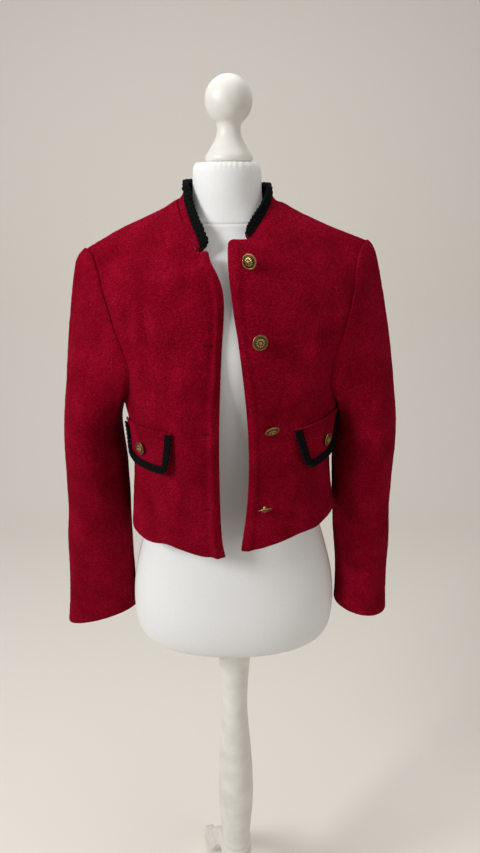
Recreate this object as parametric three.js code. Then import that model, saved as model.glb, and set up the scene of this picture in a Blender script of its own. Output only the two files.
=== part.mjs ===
// A cropped, boxy wool jacket worn open on a limbless dress form with a tripod stand.
// Millimetres, +Z up. The jacket faces -Y, so the wearer's left is +X. The floor is z = 0 and
// the pole's axis is x = 0, y = 0 until the last lines, which centre the whole on the origin.
import * as THREE from 'three';

const SEAM_GAP = 0.3; // clear gap between neighbouring pieces
const BEND_GAP = 0.6; // the same gap where one of the two edges bends
const WOOL = 3; // wall of the jacket: boucle wool and its lining together
const SMALL = 1e-3; // step, in radians or mm, for slopes measured on a surface
const CORNER = 0.15; // turn, in radians, from the shoulder point to where its normal is taken
const RIGHT = -1; // the wearer's right, towards -X
const LEFT = 1; // the wearer's left, towards +X
const DEGREE = Math.PI / 180;
const QUARTER = Math.PI / 2;

// ---------------------------------------------------------------- tables

// Turns a line of column names and rows of numbers into row objects.
function table(names, rows) {
  const keys = names.split(' ');
  return rows.map((row) => Object.fromEntries(row.map((value, i) => [keys[i], value])));
}

// Reads one column at a place along another, on a smooth curve through the rows.
function read(rows, along, at, column) {
  const last = rows.length - 1;
  const place = Math.min(Math.max(at, rows[0][along]), rows[last][along]);
  let i = 0;
  while (i < last - 1 && rows[i + 1][along] < place) i += 1;
  const slope = (j) => {
    const before = rows[Math.max(j - 1, 0)];
    const after = rows[Math.min(j + 1, last)];
    return (after[column] - before[column]) / (after[along] - before[along]);
  };
  const span = rows[i + 1][along] - rows[i][along];
  const t = (place - rows[i][along]) / span;
  const ease = t * t * (3 - 2 * t);
  return rows[i][column] * (1 - ease) + rows[i + 1][column] * ease
    + span * t * (1 - t) * (slope(i) * (1 - t) - slope(i + 1) * t);
}

const mix = (a, b, t) => a + (b - a) * t;
const smooth = (t) => {
  const part = Math.min(Math.max(t, 0), 1);
  return part * part * (3 - 2 * part);
};

// ---------------------------------------------------------------- sizes

// Line of the shoulders seen from the front: it falls from its peak at the neck to each side.
const SHOULDERS = table('x height', [
  [-210, 1371], [-193, 1381], [-148, 1405], [-111, 1421], [-87, 1432], [-66, 1443.5], [-30, 1451.5],
  [0, 1453], [30, 1449.5], [54, 1444], [71, 1437], [88, 1428], [104, 1420.5], [135, 1407], [183, 1389],
  [200, 1381.5],
]);
const ROUNDING = 120; // drop over which the shoulders round over to the front and the back
const SQUARENESS = 2.4; // shape of the body's section: 2 would be an ellipse

// Half sections of the jacket's body, by drop below the shoulder line.
const BODY = table('drop halfRight halfLeft front back', [
  [0, 195, 184, 60, 92],
  [30, 194, 184, 70, 93],
  [50, 192, 184, 81, 94],
  [65, 190, 184, 87, 95],
  [90, 184, 181, 97, 98],
  [130, 176, 174, 108, 102],
  [190, 164, 162, 118, 103],
  [250, 151, 150, 123, 99],
  [300, 146, 145, 125, 94],
  [340, 147, 147, 126, 94],
  [400, 152, 154, 127, 104],
  [480, 156, 158, 128, 112],
]);

// Soft vertical folds: the turn and drop of the middle, width, lean, reach up and down, depth.
const FOLDS = table('side turn drop width lean reach depth', [
  [RIGHT, 22, 330, 7, 6, 150, 3],
  [RIGHT, 40, 420, 8, -8, 110, -4],
  [RIGHT, 58, 240, 8, 10, 90, -3],
  [LEFT, 24, 240, 8, -8, 150, -3],
  [LEFT, 44, 400, 9, 8, 130, 3.5],
  [LEFT, 60, 220, 8, 12, 90, -3],
  [RIGHT, 118, 300, 9, -6, 170, -3.5],
  [RIGHT, 138, 400, 9, 5, 120, 3.5],
  [RIGHT, 152, 240, 7, 4, 130, -2.5],
  [LEFT, 114, 330, 9, 6, 160, -3],
  [LEFT, 132, 410, 9, -6, 120, 4],
  [LEFT, 150, 300, 7, -4, 140, -3],
]);

const FOLD_START = 70; // drop over which the folds fade in below the shoulder line

// Front edges from the hem up to the neck corner: distance from the middle plane.
const EDGE = {
  [RIGHT]: table('height out', [
    [972, 9], [1000, 13.5], [1060, 15.5], [1134, 15.5], [1202, 13.5], [1267, 10],
    [1300, 7.5], [1322, 6.8], [1340, 9], [1357, 15.5], [1369, 22.5], [1382, 26],
  ]),
  [LEFT]: table('height out', [
    [982, 12], [1007, 15.5], [1046, 20.5], [1105, 23.5], [1161, 22], [1215, 17.5],
    [1280, 9.5], [1304, 5.5], [1329, 2.4], [1352, -0.5], [1375, -2], [1396, -1.5],
  ]),
};

// Hem from the front edge to the side seam, by the turn round the body in degrees.
const HEM = {
  [RIGHT]: table('turn height', [
    [2, 972], [12, 974], [22, 979], [31, 983], [44, 979], [60, 977], [90, 980],
  ]),
  [LEFT]: table('turn height', [
    [2, 982], [8, 984.5], [20, 992], [32, 999], [46, 1003], [62, 1006], [90, 1006],
  ]),
};
// Hem of the back from the wearer's right side seam to the left one.
const HEM_BACK = table('turn height', [
  [-90, 980], [-60, 984], [-30, 988], [0, 992], [30, 997], [60, 1003], [90, 1006],
]);

// Neckline of the fronts from the front edge to the shoulder seam.
const NECK = {
  [RIGHT]: table('part out height', [
    [0, 26, 1382], [0.14, 39, 1381], [0.3, 46, 1391], [0.5, 55, 1407.5], [0.75, 65, 1429], [1, 69, 1441.9],
  ]),
  [LEFT]: table('part out height', [
    [0, -1.5, 1396], [0.2, 17, 1395.4], [0.3, 25.5, 1396], [0.44, 36, 1401.5], [0.6, 49, 1413],
    [0.8, 63, 1427], [1, 71, 1437],
  ]),
};
const NECK_DROP_BACK = 25; // drop of the back neckline below the shoulder line

// Armhole from the shoulder point down to the side seam, by turn in degrees and drop.
const ARMHOLE_FRONT = table('part turn drop', [
  [0, 90, 0], [0.08, 73, 9], [0.18, 64, 33], [0.34, 59.5, 75], [0.5, 57, 115],
  [0.65, 54, 155], [0.79, 54.5, 190], [0.88, 62, 212], [0.95, 76, 224], [1, 90, 228],
]);
const ARMHOLE_BACK = table('part turn drop', [
  [0, 90, 0], [0.08, 74, 9], [0.18, 66, 33], [0.34, 62, 75], [0.5, 60, 115],
  [0.65, 58, 155], [0.79, 59, 190], [0.88, 66, 212], [0.95, 78, 224], [1, 90, 228],
]);

// Rows and columns of the panels' grids.
const ROWS = { hemToArmhole: 7, armhole: 13, edge: 13, neck: 7 };
const COLUMNS = { front: 11, shoulder: 6, neckBack: 10 };

// Sleeve sections below the cap: height and place of the middle, half sizes, and the slope of
// the section, which stands higher on the side next to the body.
const SLEEVE = {
  [RIGHT]: table('height out back halfWide halfDeep slope', [
    [1112, 206.6, 2, 40.8, 62, 0.4], [1060, 206.8, 4, 43.8, 57, 0.28], [1000, 208.4, 4, 45.8, 51, 0.2],
    [940, 212, 2, 48, 43, 0.18], [880, 212.8, -1, 50, 35, 0.18],
    [830, 214.8, -5, 52.2, 28, 0.22], [800, 216.5, -8, 55, 23, 0.3],
  ]),
  [LEFT]: table('height out back halfWide halfDeep slope', [
    [1112, 199, 2, 42, 60, 0.4], [1060, 198.2, 4, 42.8, 55, 0.28], [1000, 199.6, 4, 42, 50, 0.2],
    [940, 203.2, 2, 41, 46, 0.15], [880, 206, 0, 38, 43, 0.12],
    [840, 207, -3, 38.4, 41, 0.12], [815, 207.4, -5, 39.6, 39, 0.16],
  ]),
};
// The cap of a sleeve: how far it rolls out past the armhole seam, and how it turns down.
const CAP = {
  gap: 0.8, rows: 5, rollTop: { [RIGHT]: 16, [LEFT]: 11 }, rollUnderarm: 6,
  ahead: 0.3, down: 0.7, pull: 0.55,
};
const SLEEVE_ROWS = 8; // rows below the cap
const SLEEVE_BENDS = table('height side depth', [[1035, -1, 2.5], [990, 1, 3], [900, -1, 2]]);

// Stand collar: how far it rises, and comes in towards the neck, by the part of its length from
// the wearer's right front end to the left one.
// The collar's outer face stays 'stand' from the neck's axis. In front it leans towards a point
// 'aim' of the way from the axis to its own depth. 'hollow' curves its face where it leans.
const COLLAR = { wall: 3, stand: 54.8, aim: 0.75, hollow: 0.036 };
const COLLAR_LINE = table('part rise inward', [
  [0, 3, 10], [0.03, 8, 13], [0.08, 11, 13.5], [0.14, 13, 12], [0.2, 16, 11], [0.3, 22, 12], [0.4, 29, 18],
  [0.5, 33, 20], [0.6, 30, 24], [0.7, 24, 24], [0.78, 18, 17.5], [0.86, 13, 15], [0.92, 9.5, 13.5],
  [0.97, 7, 10], [1, 3, 7],
]);
const COLLAR_START = { [RIGHT]: 1, [LEFT]: 2 }; // neckline columns left bare at each front end
const BRAID = { wall: 2, gap: 1, reach: 9, clear: 2 }; // black braid over the collar's top edge

// Pocket flaps: place of the top inner corner round the body and its height, then the size.
const FLAP = {
  wall: 2.6, width: 102, height: 56, corner: 13, lift: 0.9, flare: 6,
  place: {
    [RIGHT]: { arc: 78, top: 1154, tilt: -0.5, shear: 4 },
    [LEFT]: { arc: 85, top: 1158, tilt: 4.5, shear: 14 },
  },
};
const FLAP_BRAID = { width: 9.5, wall: 2.4, over: 1.5, innerStart: 1.5, outerStart: 6 };
const FLAP_GRID = { across: 12, down: 6, cornerSteps: 4 };

// Domed buttons: radius, then height of the dome over the rim, and the shank under it.
const BUTTON = { radius: 10, rim: 2, dome: 2.4, shank: 3, shankRadius: 2.6, sides: 14 };
const BUTTON_SCALE_FLAP = 0.88;
const BUTTONS = table('out height yaw pitch', [
  [24, 1366, -38, 8], [37, 1274, 8, 4], [51.5, 1160, 4, 42], [43, 1051, 10, 58],
]);

// Dress form: level sections of the torso and neck.
const TORSO = table('height half front back square', [
  [764, 128, 74, 88, 2.2], [767, 141, 84, 99, 2.2], [775, 152, 93, 109, 2.2], [789, 158, 100, 115, 2.2],
  [812, 161, 105, 118, 2.2], [840, 161.5, 106, 118, 2.2], [875, 158, 103, 113, 2.2], [915, 149, 98, 104, 2.2],
  [960, 136, 91, 92, 2.2], [1005, 123, 85, 80, 2.2], [1045, 115, 81, 74, 2.2], [1080, 116, 83, 75, 2.2],
  [1120, 124, 90, 79, 2.2], [1165, 134, 99, 84, 2.2], [1205, 140, 107, 88, 2.2], [1245, 143, 111, 90, 2.2],
  [1285, 146, 106, 90, 2.2], [1325, 151, 93, 88, 2.1], [1352, 155, 78, 82, 2], [1370, 153, 66, 74, 1.9],
  [1382, 143, 58, 66, 1.8], [1392, 122, 53, 60, 1.8], [1401, 99, 49.5, 56, 1.8], [1410, 75, 47.5, 52, 2],
  [1420, 57, 46.5, 48.5, 2], [1433, 48.5, 45.5, 46.5, 2], [1450, 45.5, 45.5, 45.5, 2],
  [1470, 45, 45, 45, 2], [1481, 43.5, 43.5, 43.5, 2], [1486, 40.5, 40.5, 40.5, 2],
]);
const TORSO_SIDES = 34;
const NECK_ASIDE = -3; // the neck stands a little to the wearer's right

// Turned wood: radius by height.
const CAP_PROFILE = table('height radius', [
  [1486.3, 27], [1488.5, 30.2], [1491, 31], [1495, 30], [1503, 24.5], [1513, 18.5], [1521, 15.5], [1526, 15],
  [1530, 15.4], [1533, 16.6],
]);
const BALL = { middle: 1559, radius: 30.3, from: -54, steps: 9 };
const POLE_PROFILE = table('height radius', [
  [246, 27], [252, 28.2], [258, 27], [262, 26.5], [267, 27.8], [272, 27.8], [277, 26.5], [284, 26.3],
  [313, 28.2], [363, 32], [408, 32.3], [475, 29.8], [540, 24.9], [586, 22.1], [632, 22.6], [676, 25.3],
  [708, 27.2], [740, 28], [763.7, 28],
]);
const HUB_PROFILE = table('height radius', [
  [92, 18], [96, 24], [106, 29], [120, 31], [200, 31], [214, 30], [228, 29], [238, 29.4], [245.7, 28],
]);
const WOOD_SIDES = 20;

// Tripod legs: a flat board, curved out and down from the hub to a round foot.
const LEG = { thick: 22, directions: [108, 228, 348] };
const LEG_LINE = table('out height half', [
  [31.3, 168, 34], [58, 170, 25], [92, 152, 19], [128, 112, 17], [156, 68, 18], [180, 32, 20], [204, 17, 21],
]);
const LEG_STEPS = 10;
const FOOT_STEPS = 5;

// ---------------------------------------------------------------- surface of the body

const shoulderHeight = (x) => read(SHOULDERS, 'x', x, 'height');

// Drop below the shoulder line after going a length 'lap' over the rounded shoulder.
function dropOf(lap) {
  const quarter = ROUNDING * QUARTER;
  return lap < quarter ? ROUNDING * (1 - Math.cos(lap / ROUNDING)) : ROUNDING + lap - quarter;
}
function lapOf(drop) {
  if (drop >= ROUNDING) return ROUNDING * QUARTER + drop - ROUNDING;
  return ROUNDING * Math.acos(1 - Math.max(drop, 0) / ROUNDING);
}

const halfWidth = (side, drop) => read(BODY, 'drop', drop, side < 0 ? 'halfRight' : 'halfLeft');

function foldDepth(side, turn, drop) {
  let depth = 0;
  for (const fold of FOLDS) {
    if (fold.side !== side) continue;
    const along = (drop - fold.drop) / fold.reach;
    const across = (turn / DEGREE - fold.turn - fold.lean * along) / fold.width;
    depth += fold.depth * Math.exp(-across * across - along * along);
  }
  return depth * smooth(drop / FOLD_START);
}

// Outer surface of the body. 'turn' goes from the middle of the front (0) over the side seam (a
// quarter turn) to the middle of the back; 'lap' goes down from the shoulder line.
function bodyPoint(side, turn, lap) {
  if (lap < 0) return bodyPoint(side, Math.PI - turn, -lap);
  const across = Math.sin(turn);
  const ahead = Math.cos(turn);
  const drop = dropOf(lap);
  const x = side * Math.sign(across) * halfWidth(side, drop) * Math.abs(across) ** (2 / SQUARENESS);
  const depth = read(BODY, 'drop', drop, ahead > 0 ? 'front' : 'back');
  const over = Math.sin(Math.min(lap / ROUNDING, QUARTER));
  const y = -Math.sign(ahead) * depth * over * Math.abs(ahead) ** (2 / SQUARENESS);
  const fold = foldDepth(side, turn, drop);
  return new THREE.Vector3(x + fold * side * across, y - fold * ahead, shoulderHeight(x) - drop);
}

// Outward normal of that surface. On the shoulder line front and back share one normal, and at
// its outer end, which is a corner, it is the one found just inside.
function bodyNormal(side, turn, lap) {
  const on = lap < SMALL ? Math.min(turn, Math.PI - turn, QUARTER - CORNER) : turn;
  const round = bodyPoint(side, on + SMALL, lap).sub(bodyPoint(side, on - SMALL, lap));
  const down = bodyPoint(side, on, lap + SMALL).sub(bodyPoint(side, on, lap - SMALL));
  return down.cross(round).multiplyScalar(side).normalize();
}

// Turn and lap of the surface point at a distance out from the middle plane and a height.
function onBody(side, out, height) {
  const drop = Math.max(shoulderHeight(side * out) - height, 0);
  const part = Math.min(Math.abs(out) / halfWidth(side, drop), 1);
  return { turn: Math.sign(out) * Math.asin(part ** (SQUARENESS / 2)), lap: lapOf(drop) };
}

// Lap of the surface at a turn and a height.
function lapAtHeight(side, turn, height) {
  let drop = shoulderHeight(0) - height;
  for (let pass = 0; pass < 6; pass += 1) {
    const x = side * halfWidth(side, drop) * Math.abs(Math.sin(turn)) ** (2 / SQUARENESS);
    drop = shoulderHeight(x) - height;
  }
  return lapOf(drop);
}

// Turn of the point at an arc length round the body from the middle of the front, at a height.
function turnAtArc(side, arc, height) {
  const step = DEGREE / 2;
  let turn = 0;
  let left = arc;
  let here = bodyPoint(side, 0, lapAtHeight(side, 0, height));
  while (turn < Math.PI) {
    const next = bodyPoint(side, turn + step, lapAtHeight(side, turn + step, height));
    const run = next.distanceTo(here);
    if (run >= left) return turn + (step * left) / run;
    left -= run;
    here = next;
    turn += step;
  }
  return turn;
}

// ---------------------------------------------------------------- closed solids from grids

class Shell {
  constructor() {
    this.positions = [];
    this.triangles = [];
  }

  add(point) {
    this.positions.push(point.x, point.y, point.z);
    return this.positions.length / 3 - 1;
  }

  grid(rows) {
    return rows.map((row) => row.map((point) => this.add(point)));
  }

  quad(a, b, c, d) {
    this.triangles.push(a, b, c, a, c, d);
  }

  // Skins a grid of point numbers; 'joined' closes it from its last column to its first.
  skin(grid, joined, flip) {
    const columns = grid[0].length;
    for (let i = 0; i < grid.length - 1; i += 1) {
      for (let j = 0; j < (joined ? columns : columns - 1); j += 1) {
        const k = (j + 1) % columns;
        const corners = [grid[i][j], grid[i][k], grid[i + 1][k], grid[i + 1][j]];
        this.quad(...(flip ? corners.reverse() : corners));
      }
    }
  }

  // Joins two lines of point numbers with a strip.
  strip(from, to) {
    for (let i = 0; i < from.length - 1; i += 1) this.quad(from[i], to[i], to[i + 1], from[i + 1]);
  }

  fan(middle, ring) {
    ring.forEach((point, i) => this.triangles.push(middle, point, ring[(i + 1) % ring.length]));
  }

  // Faces are turned outwards by the sign of the enclosed volume.
  geometry() {
    const at = (i) => new THREE.Vector3().fromArray(this.positions, 3 * i);
    let volume = 0;
    for (let i = 0; i < this.triangles.length; i += 3) {
      const [a, b, c] = this.triangles.slice(i, i + 3).map(at);
      volume += a.dot(b.cross(c));
    }
    if (volume < 0) this.triangles.reverse();
    const geometry = new THREE.BufferGeometry();
    geometry.setAttribute('position', new THREE.Float32BufferAttribute(this.positions, 3));
    geometry.setIndex(this.triangles);
    geometry.computeVertexNormals();
    return geometry;
  }
}

// A wall between an outer and an inner grid of the same size, with its rims closed.
function wall(outer, inner, joined = false) {
  const shell = new Shell();
  const out = shell.grid(outer);
  const into = shell.grid(inner);
  shell.skin(out, joined, false);
  shell.skin(into, joined, true);
  const close = (line) => (joined ? [...line, line[0]] : line);
  shell.strip(close(out[0]), close(into[0]));
  shell.strip(close(into.at(-1)), close(out.at(-1)));
  if (!joined) {
    shell.strip(into.map((row) => row[0]), out.map((row) => row[0]));
    shell.strip(out.map((row) => row.at(-1)), into.map((row) => row.at(-1)));
  }
  return shell.geometry();
}

// A solid skinned over closed rings of points, with flat or domed ends.
function loft(rings, endPoints = null) {
  const shell = new Shell();
  const grid = shell.grid(rings);
  shell.skin(grid, true, false);
  const ends = [rings[0], rings.at(-1)].map((ring, i) => {
    const middle = new THREE.Vector3();
    ring.forEach((point) => middle.add(point));
    return shell.add(endPoints ? endPoints[i] : middle.divideScalar(ring.length));
  });
  shell.fan(ends[0], [...grid[0]].reverse());
  shell.fan(ends[1], grid.at(-1));
  return shell.geometry();
}

// A turned solid from rows of height and radius.
function turned(profile, sides) {
  const rings = profile.map(({ height, radius }) => Array.from({ length: sides }, (_, i) => {
    const angle = (2 * Math.PI * i) / sides;
    return new THREE.Vector3(radius * Math.cos(angle), radius * Math.sin(angle), height);
  }));
  const ends = [profile[0], profile.at(-1)].map(({ height }) => new THREE.Vector3(0, 0, height));
  return loft(rings, ends);
}

// ---------------------------------------------------------------- panels

const steps = (count) => Array.from({ length: count + 1 }, (_, i) => i / count);

// Fills a grid of {turn, lap} places between four border lines.
function fill(bottom, top, left, right) {
  const rows = left.length - 1;
  const columns = bottom.length - 1;
  return left.map((_, i) => bottom.map((__, j) => {
    const v = i / rows;
    const u = j / columns;
    const blend = (key) => mix(bottom[j][key], top[j][key], v) + mix(left[i][key], right[i][key], u)
      - mix(mix(bottom[0][key], bottom[columns][key], u), mix(top[0][key], top[columns][key], u), v);
    return { turn: blend('turn'), lap: blend('lap') };
  }));
}

// Side seam and armhole of a panel from the hem up to the shoulder point.
function sideLine(side, armhole, hemHeight) {
  const hem = { turn: QUARTER, lap: lapAtHeight(side, QUARTER, hemHeight) };
  const underarm = lapOf(armhole.at(-1).drop);
  const seam = steps(ROWS.hemToArmhole).slice(0, -1)
    .map((t) => ({ turn: QUARTER, lap: mix(hem.lap, underarm, t) }));
  const hole = steps(ROWS.armhole).map((t) => {
    const part = 1 - t;
    return {
      turn: read(armhole, 'part', part, 'turn') * DEGREE,
      lap: lapOf(read(armhole, 'part', part, 'drop')),
    };
  });
  return [...seam, ...hole];
}

// Places of one front, in rows from the hem to the shoulder seam, from the front edge out.
function frontPlaces(side) {
  const edge = EDGE[side];
  const edgeLine = steps(ROWS.edge).slice(0, -1).map((t) => {
    const height = mix(edge[0].height, edge.at(-1).height, t);
    return onBody(side, read(edge, 'height', height, 'out'), height);
  });
  const neckLine = steps(ROWS.neck).map((t) => onBody(
    side, read(NECK[side], 'part', t, 'out'), read(NECK[side], 'part', t, 'height'),
  ));
  neckLine.at(-1).lap = 0;
  const left = [...edgeLine, ...neckLine];
  const right = sideLine(side, ARMHOLE_FRONT, HEM[side].at(-1).height);
  const bottom = steps(COLUMNS.front).map((t) => {
    const turn = mix(left[0].turn, QUARTER, t);
    const height = read(HEM[side], 'turn', turn / DEGREE, 'height');
    return { turn, lap: lapAtHeight(side, turn, height) };
  });
  const top = steps(COLUMNS.front).map((t) => ({ turn: mix(left.at(-1).turn, QUARTER, t), lap: 0 }));
  return fill(bottom, top, left, right);
}

// Places of the back, from the wearer's right side seam to the left one. Here 'turn' is counted
// from the middle of the back, negative towards the wearer's right.
function backPlaces() {
  const fromMiddle = (line, side) => line.map(({ turn, lap }) => ({ turn: side * turn, lap }));
  const left = fromMiddle(sideLine(RIGHT, ARMHOLE_BACK, HEM_BACK[0].height), RIGHT);
  const right = fromMiddle(sideLine(LEFT, ARMHOLE_BACK, HEM_BACK.at(-1).height), LEFT);
  const neckTurn = (side) => side * onBody(side, NECK[side].at(-1).out, NECK[side].at(-1).height).turn;
  const shoulder = (side) => steps(COLUMNS.shoulder)
    .map((t) => ({ turn: mix(side * QUARTER, neckTurn(side), t), lap: 0 }));
  const neck = steps(COLUMNS.neckBack).slice(1, -1).map((t) => ({
    turn: mix(neckTurn(RIGHT), neckTurn(LEFT), t),
    lap: lapOf(NECK_DROP_BACK) * (1 - Math.abs(2 * t - 1) ** 2.2),
  }));
  const top = [...shoulder(RIGHT), ...neck, ...shoulder(LEFT).reverse()];
  const bottom = steps(top.length - 1).map((t) => {
    const turn = mix(-QUARTER, QUARTER, t);
    const height = read(HEM_BACK, 'turn', turn / DEGREE, 'height');
    return { turn, lap: lapAtHeight(turn < 0 ? RIGHT : LEFT, turn, height) };
  });
  return fill(bottom, top, left, right);
}

// Outer point and normal of a place, on a front or, with no side given, on the back.
function resolve(side, { turn, lap }) {
  if (side) return { point: bodyPoint(side, turn, lap), normal: bodyNormal(side, turn, lap) };
  const own = turn < 0 ? RIGHT : LEFT;
  const round = Math.PI - Math.abs(turn);
  return { point: bodyPoint(own, round, lap), normal: bodyNormal(own, round, lap) };
}

// A panel's points, drawn back from the side and shoulder seams by half of the gap there.
function panel(side, places, isSeam) {
  const back = side ? -1 : 1;
  const outer = places.map((row, i) => row.map((place, j) => {
    const spot = resolve(side, place);
    if (isSeam(i, j)) spot.point.y += (back * SEAM_GAP) / 2;
    return spot;
  }));
  return {
    outer: outer.map((row) => row.map(({ point }) => point)),
    inner: outer.map((row) => row.map(({ point, normal }) => point.clone().addScaledVector(normal, -WOOL))),
    normal: outer.map((row) => row.map(({ normal }) => normal)),
  };
}

const lastRow = ROWS.hemToArmhole + ROWS.armhole;
const backColumns = 2 * COLUMNS.shoulder + COLUMNS.neckBack;
const fronts = Object.fromEntries([RIGHT, LEFT].map((side) => [side, panel(
  side,
  frontPlaces(side),
  (i, j) => i === lastRow || (j === COLUMNS.front && i <= ROWS.hemToArmhole),
)]));
const back = panel(0, backPlaces(), (i, j) => {
  const onSide = (j === 0 || j === backColumns) && i <= ROWS.hemToArmhole;
  const onShoulder = i === lastRow && (j <= COLUMNS.shoulder || j >= backColumns - COLUMNS.shoulder);
  return onSide || onShoulder;
});

// ---------------------------------------------------------------- pieces sewn to an edge

// The edge of a panel where another piece starts: its outer points, normals and the direction
// in the cloth that leads off the panel.
function edgeOf(points, normals, towards) {
  return points.map((point, i) => {
    const before = points[Math.max(i - 1, 0)];
    const after = points[Math.min(i + 1, points.length - 1)];
    const along = after.clone().sub(before).normalize();
    const normal = normals[i];
    const off = along.cross(normal).normalize();
    if (off.dot(towards(point)) < 0) off.negate();
    return { point, normal, off };
  });
}

// Start of a wall that leaves such an edge in a wanted direction. The wall's two faces there
// lie across that direction, and clear the edge by the seam's gap.
function startAt({ point, normal, off }, wanted, thick, gap = BEND_GAP) {
  const rise = wanted.dot(normal);
  const run = Math.max(wanted.dot(off), 0.02);
  const length = Math.hypot(rise, run);
  const sink = (WOOL * Math.max(rise, 0)) / length;
  const ahead = (thick * Math.max(-rise, 0)) / length;
  const direction = new THREE.Vector3()
    .addScaledVector(normal, rise / length).addScaledVector(off, run / length);
  const across = new THREE.Vector3()
    .addScaledVector(normal, -run / length).addScaledVector(off, rise / length);
  const outer = point.clone().addScaledVector(off, gap + ahead).addScaledVector(normal, -sink);
  const inner = outer.clone().addScaledVector(across, thick);
  return { outer, inner, direction };
}

// Point on the curve that leaves a with pull va and reaches b with pull vb.
function hermite(a, va, b, vb, t) {
  const ease = t * t * (3 - 2 * t);
  return a.clone().multiplyScalar(1 - ease).addScaledVector(b, ease)
    .addScaledVector(va, t * (1 - t) * (1 - t)).addScaledVector(vb, -t * t * (1 - t));
}

// Normals of a grid of points that is joined round its columns.
function tubeNormals(grid) {
  const columns = grid[0].length;
  return grid.map((row, i) => row.map((_, j) => {
    const up = grid[Math.max(i - 1, 0)][j];
    const down = grid[Math.min(i + 1, grid.length - 1)][j];
    const before = row[(j + columns - 1) % columns];
    const after = row[(j + 1) % columns];
    return down.clone().sub(up).cross(after.clone().sub(before)).normalize();
  }));
}

// ---------------------------------------------------------------- sleeves

// Armhole loop of one side: from the shoulder point down the front and up the back.
function armholeLoop(side) {
  const front = fronts[side];
  const column = side < 0 ? 0 : backColumns;
  const pick = (grid, j) => steps(ROWS.armhole).map((_, k) => grid[lastRow - k][j]);
  const down = pick(front.outer, COLUMNS.front);
  const up = pick(back.outer, column).reverse();
  const downNormals = pick(front.normal, COLUMNS.front);
  const upNormals = pick(back.normal, column).reverse();
  const towards = () => new THREE.Vector3(side, 0, 0.35);
  const frontEdge = edgeOf(down, downNormals, towards);
  const backEdge = edgeOf(up, upNormals, towards);
  const join = (a, b) => ({
    point: a.point.clone().add(b.point).multiplyScalar(0.5),
    normal: a.normal.clone().add(b.normal).normalize(),
    off: a.off.clone().add(b.off).normalize(),
  });
  const top = join(frontEdge[0], backEdge.at(-1));
  const bottom = join(frontEdge.at(-1), backEdge[0]);
  bottom.off.set(0, 0, 1);
  return [top, ...frontEdge.slice(1, -1), bottom, ...backEdge.slice(1, -1)];
}

// One section of a sleeve below its cap; 'angle' goes from the outside over the front.
function sleeveSection(side, t, angle) {
  const rows = SLEEVE[side].map((row, i) => ({ ...row, part: i / (SLEEVE[side].length - 1) }));
  const at = (column) => read(rows, 'part', t, column);
  const ahead = Math.cos(angle);
  const deep = Math.sin(angle);
  const height = at('height') - at('slope') * at('halfWide') * ahead;
  let bend = 0;
  for (const row of SLEEVE_BENDS) {
    bend += row.depth * Math.exp(-(((height - row.height) / 22) ** 2)) * (0.5 + (row.side * deep) / 2);
  }
  return new THREE.Vector3(
    side * (at('out') + (at('halfWide') - bend * 0.4) * ahead),
    at('back') - (at('halfDeep') - bend) * deep,
    height,
  );
}

function sleeve(side) {
  const loop = armholeLoop(side);
  const columns = loop.length;
  const angles = loop.map((_, j) => (2 * Math.PI * j) / columns);
  const starts = loop.map((edge, j) => {
    const low = smooth(1.6 * (0.98 - Math.abs(angles[j] - Math.PI) / Math.PI) - 0.55);
    const wanted = edge.off.clone().multiplyScalar(1 - low).addScaledVector(edge.normal, low)
      .add(new THREE.Vector3(side * 0.25, 0, 0.12 * (1 - low)));
    const gap = CAP.gap * (1 + Math.max(Math.cos(angles[j]), 0) ** 8);
    return { ...startAt(edge, wanted.normalize(), WOOL, gap), low };
  });
  const roll = starts.map(({ outer, direction, low }) => outer.clone()
    .addScaledVector(direction, mix(CAP.rollTop[side], CAP.rollUnderarm, low)));
  const cap = steps(CAP.rows).slice(1).map((t) => roll.map((from, j) => {
    const end = sleeveSection(side, 0, angles[j]);
    const next = sleeveSection(side, SMALL, angles[j]);
    const length = from.distanceTo(end);
    const pull = starts[j].direction.clone().multiplyScalar(CAP.ahead)
      .add(new THREE.Vector3(0, 0, -CAP.down)).setLength(CAP.pull * length);
    return hermite(from, pull, end, next.sub(end).setLength(length), t);
  }));
  const tube = steps(SLEEVE_ROWS).slice(1)
    .map((t) => angles.map((angle) => sleeveSection(side, t, angle)));
  const outer = [starts.map((start) => start.outer), roll, ...cap, ...tube];
  const normals = tubeNormals(outer);
  const inner = outer.map((row, i) => row.map((point, j) => {
    if (i === 0) return starts[j].inner;
    return point.clone().addScaledVector(normals[i][j], side * WOOL);
  }));
  return wall(outer, inner, true);
}

// ---------------------------------------------------------------- collar

// Neckline from the wearer's right front end round the back to the left front end.
function neckline() {
  const towards = (point) => new THREE.Vector3(-point.x, -point.y, 30);
  const frontPart = (side) => {
    const rows = steps(ROWS.neck - COLLAR_START[side]).map((_, k) => ROWS.edge + COLLAR_START[side] + k);
    return edgeOf(
      rows.map((i) => fronts[side].outer[i][0]),
      rows.map((i) => fronts[side].normal[i][0]),
      towards,
    );
  };
  const columns = steps(COLUMNS.neckBack).map((_, k) => COLUMNS.shoulder + k);
  const backPart = edgeOf(
    columns.map((j) => back.outer[lastRow][j]),
    columns.map((j) => back.normal[lastRow][j]),
    towards,
  );
  return [...frontPart(RIGHT).slice(0, -1), ...backPart, ...frontPart(LEFT).reverse().slice(1)];
}

// How far the collar can lean in before its outer face is 'stand' from the neck's axis.
function collarRoom(from, lean) {
  const ahead = -from.dot(lean);
  const beside = from.lengthSq() - ahead ** 2;
  return beside < COLLAR.stand ** 2 ? ahead - Math.sqrt(COLLAR.stand ** 2 - beside) : Infinity;
}

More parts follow.
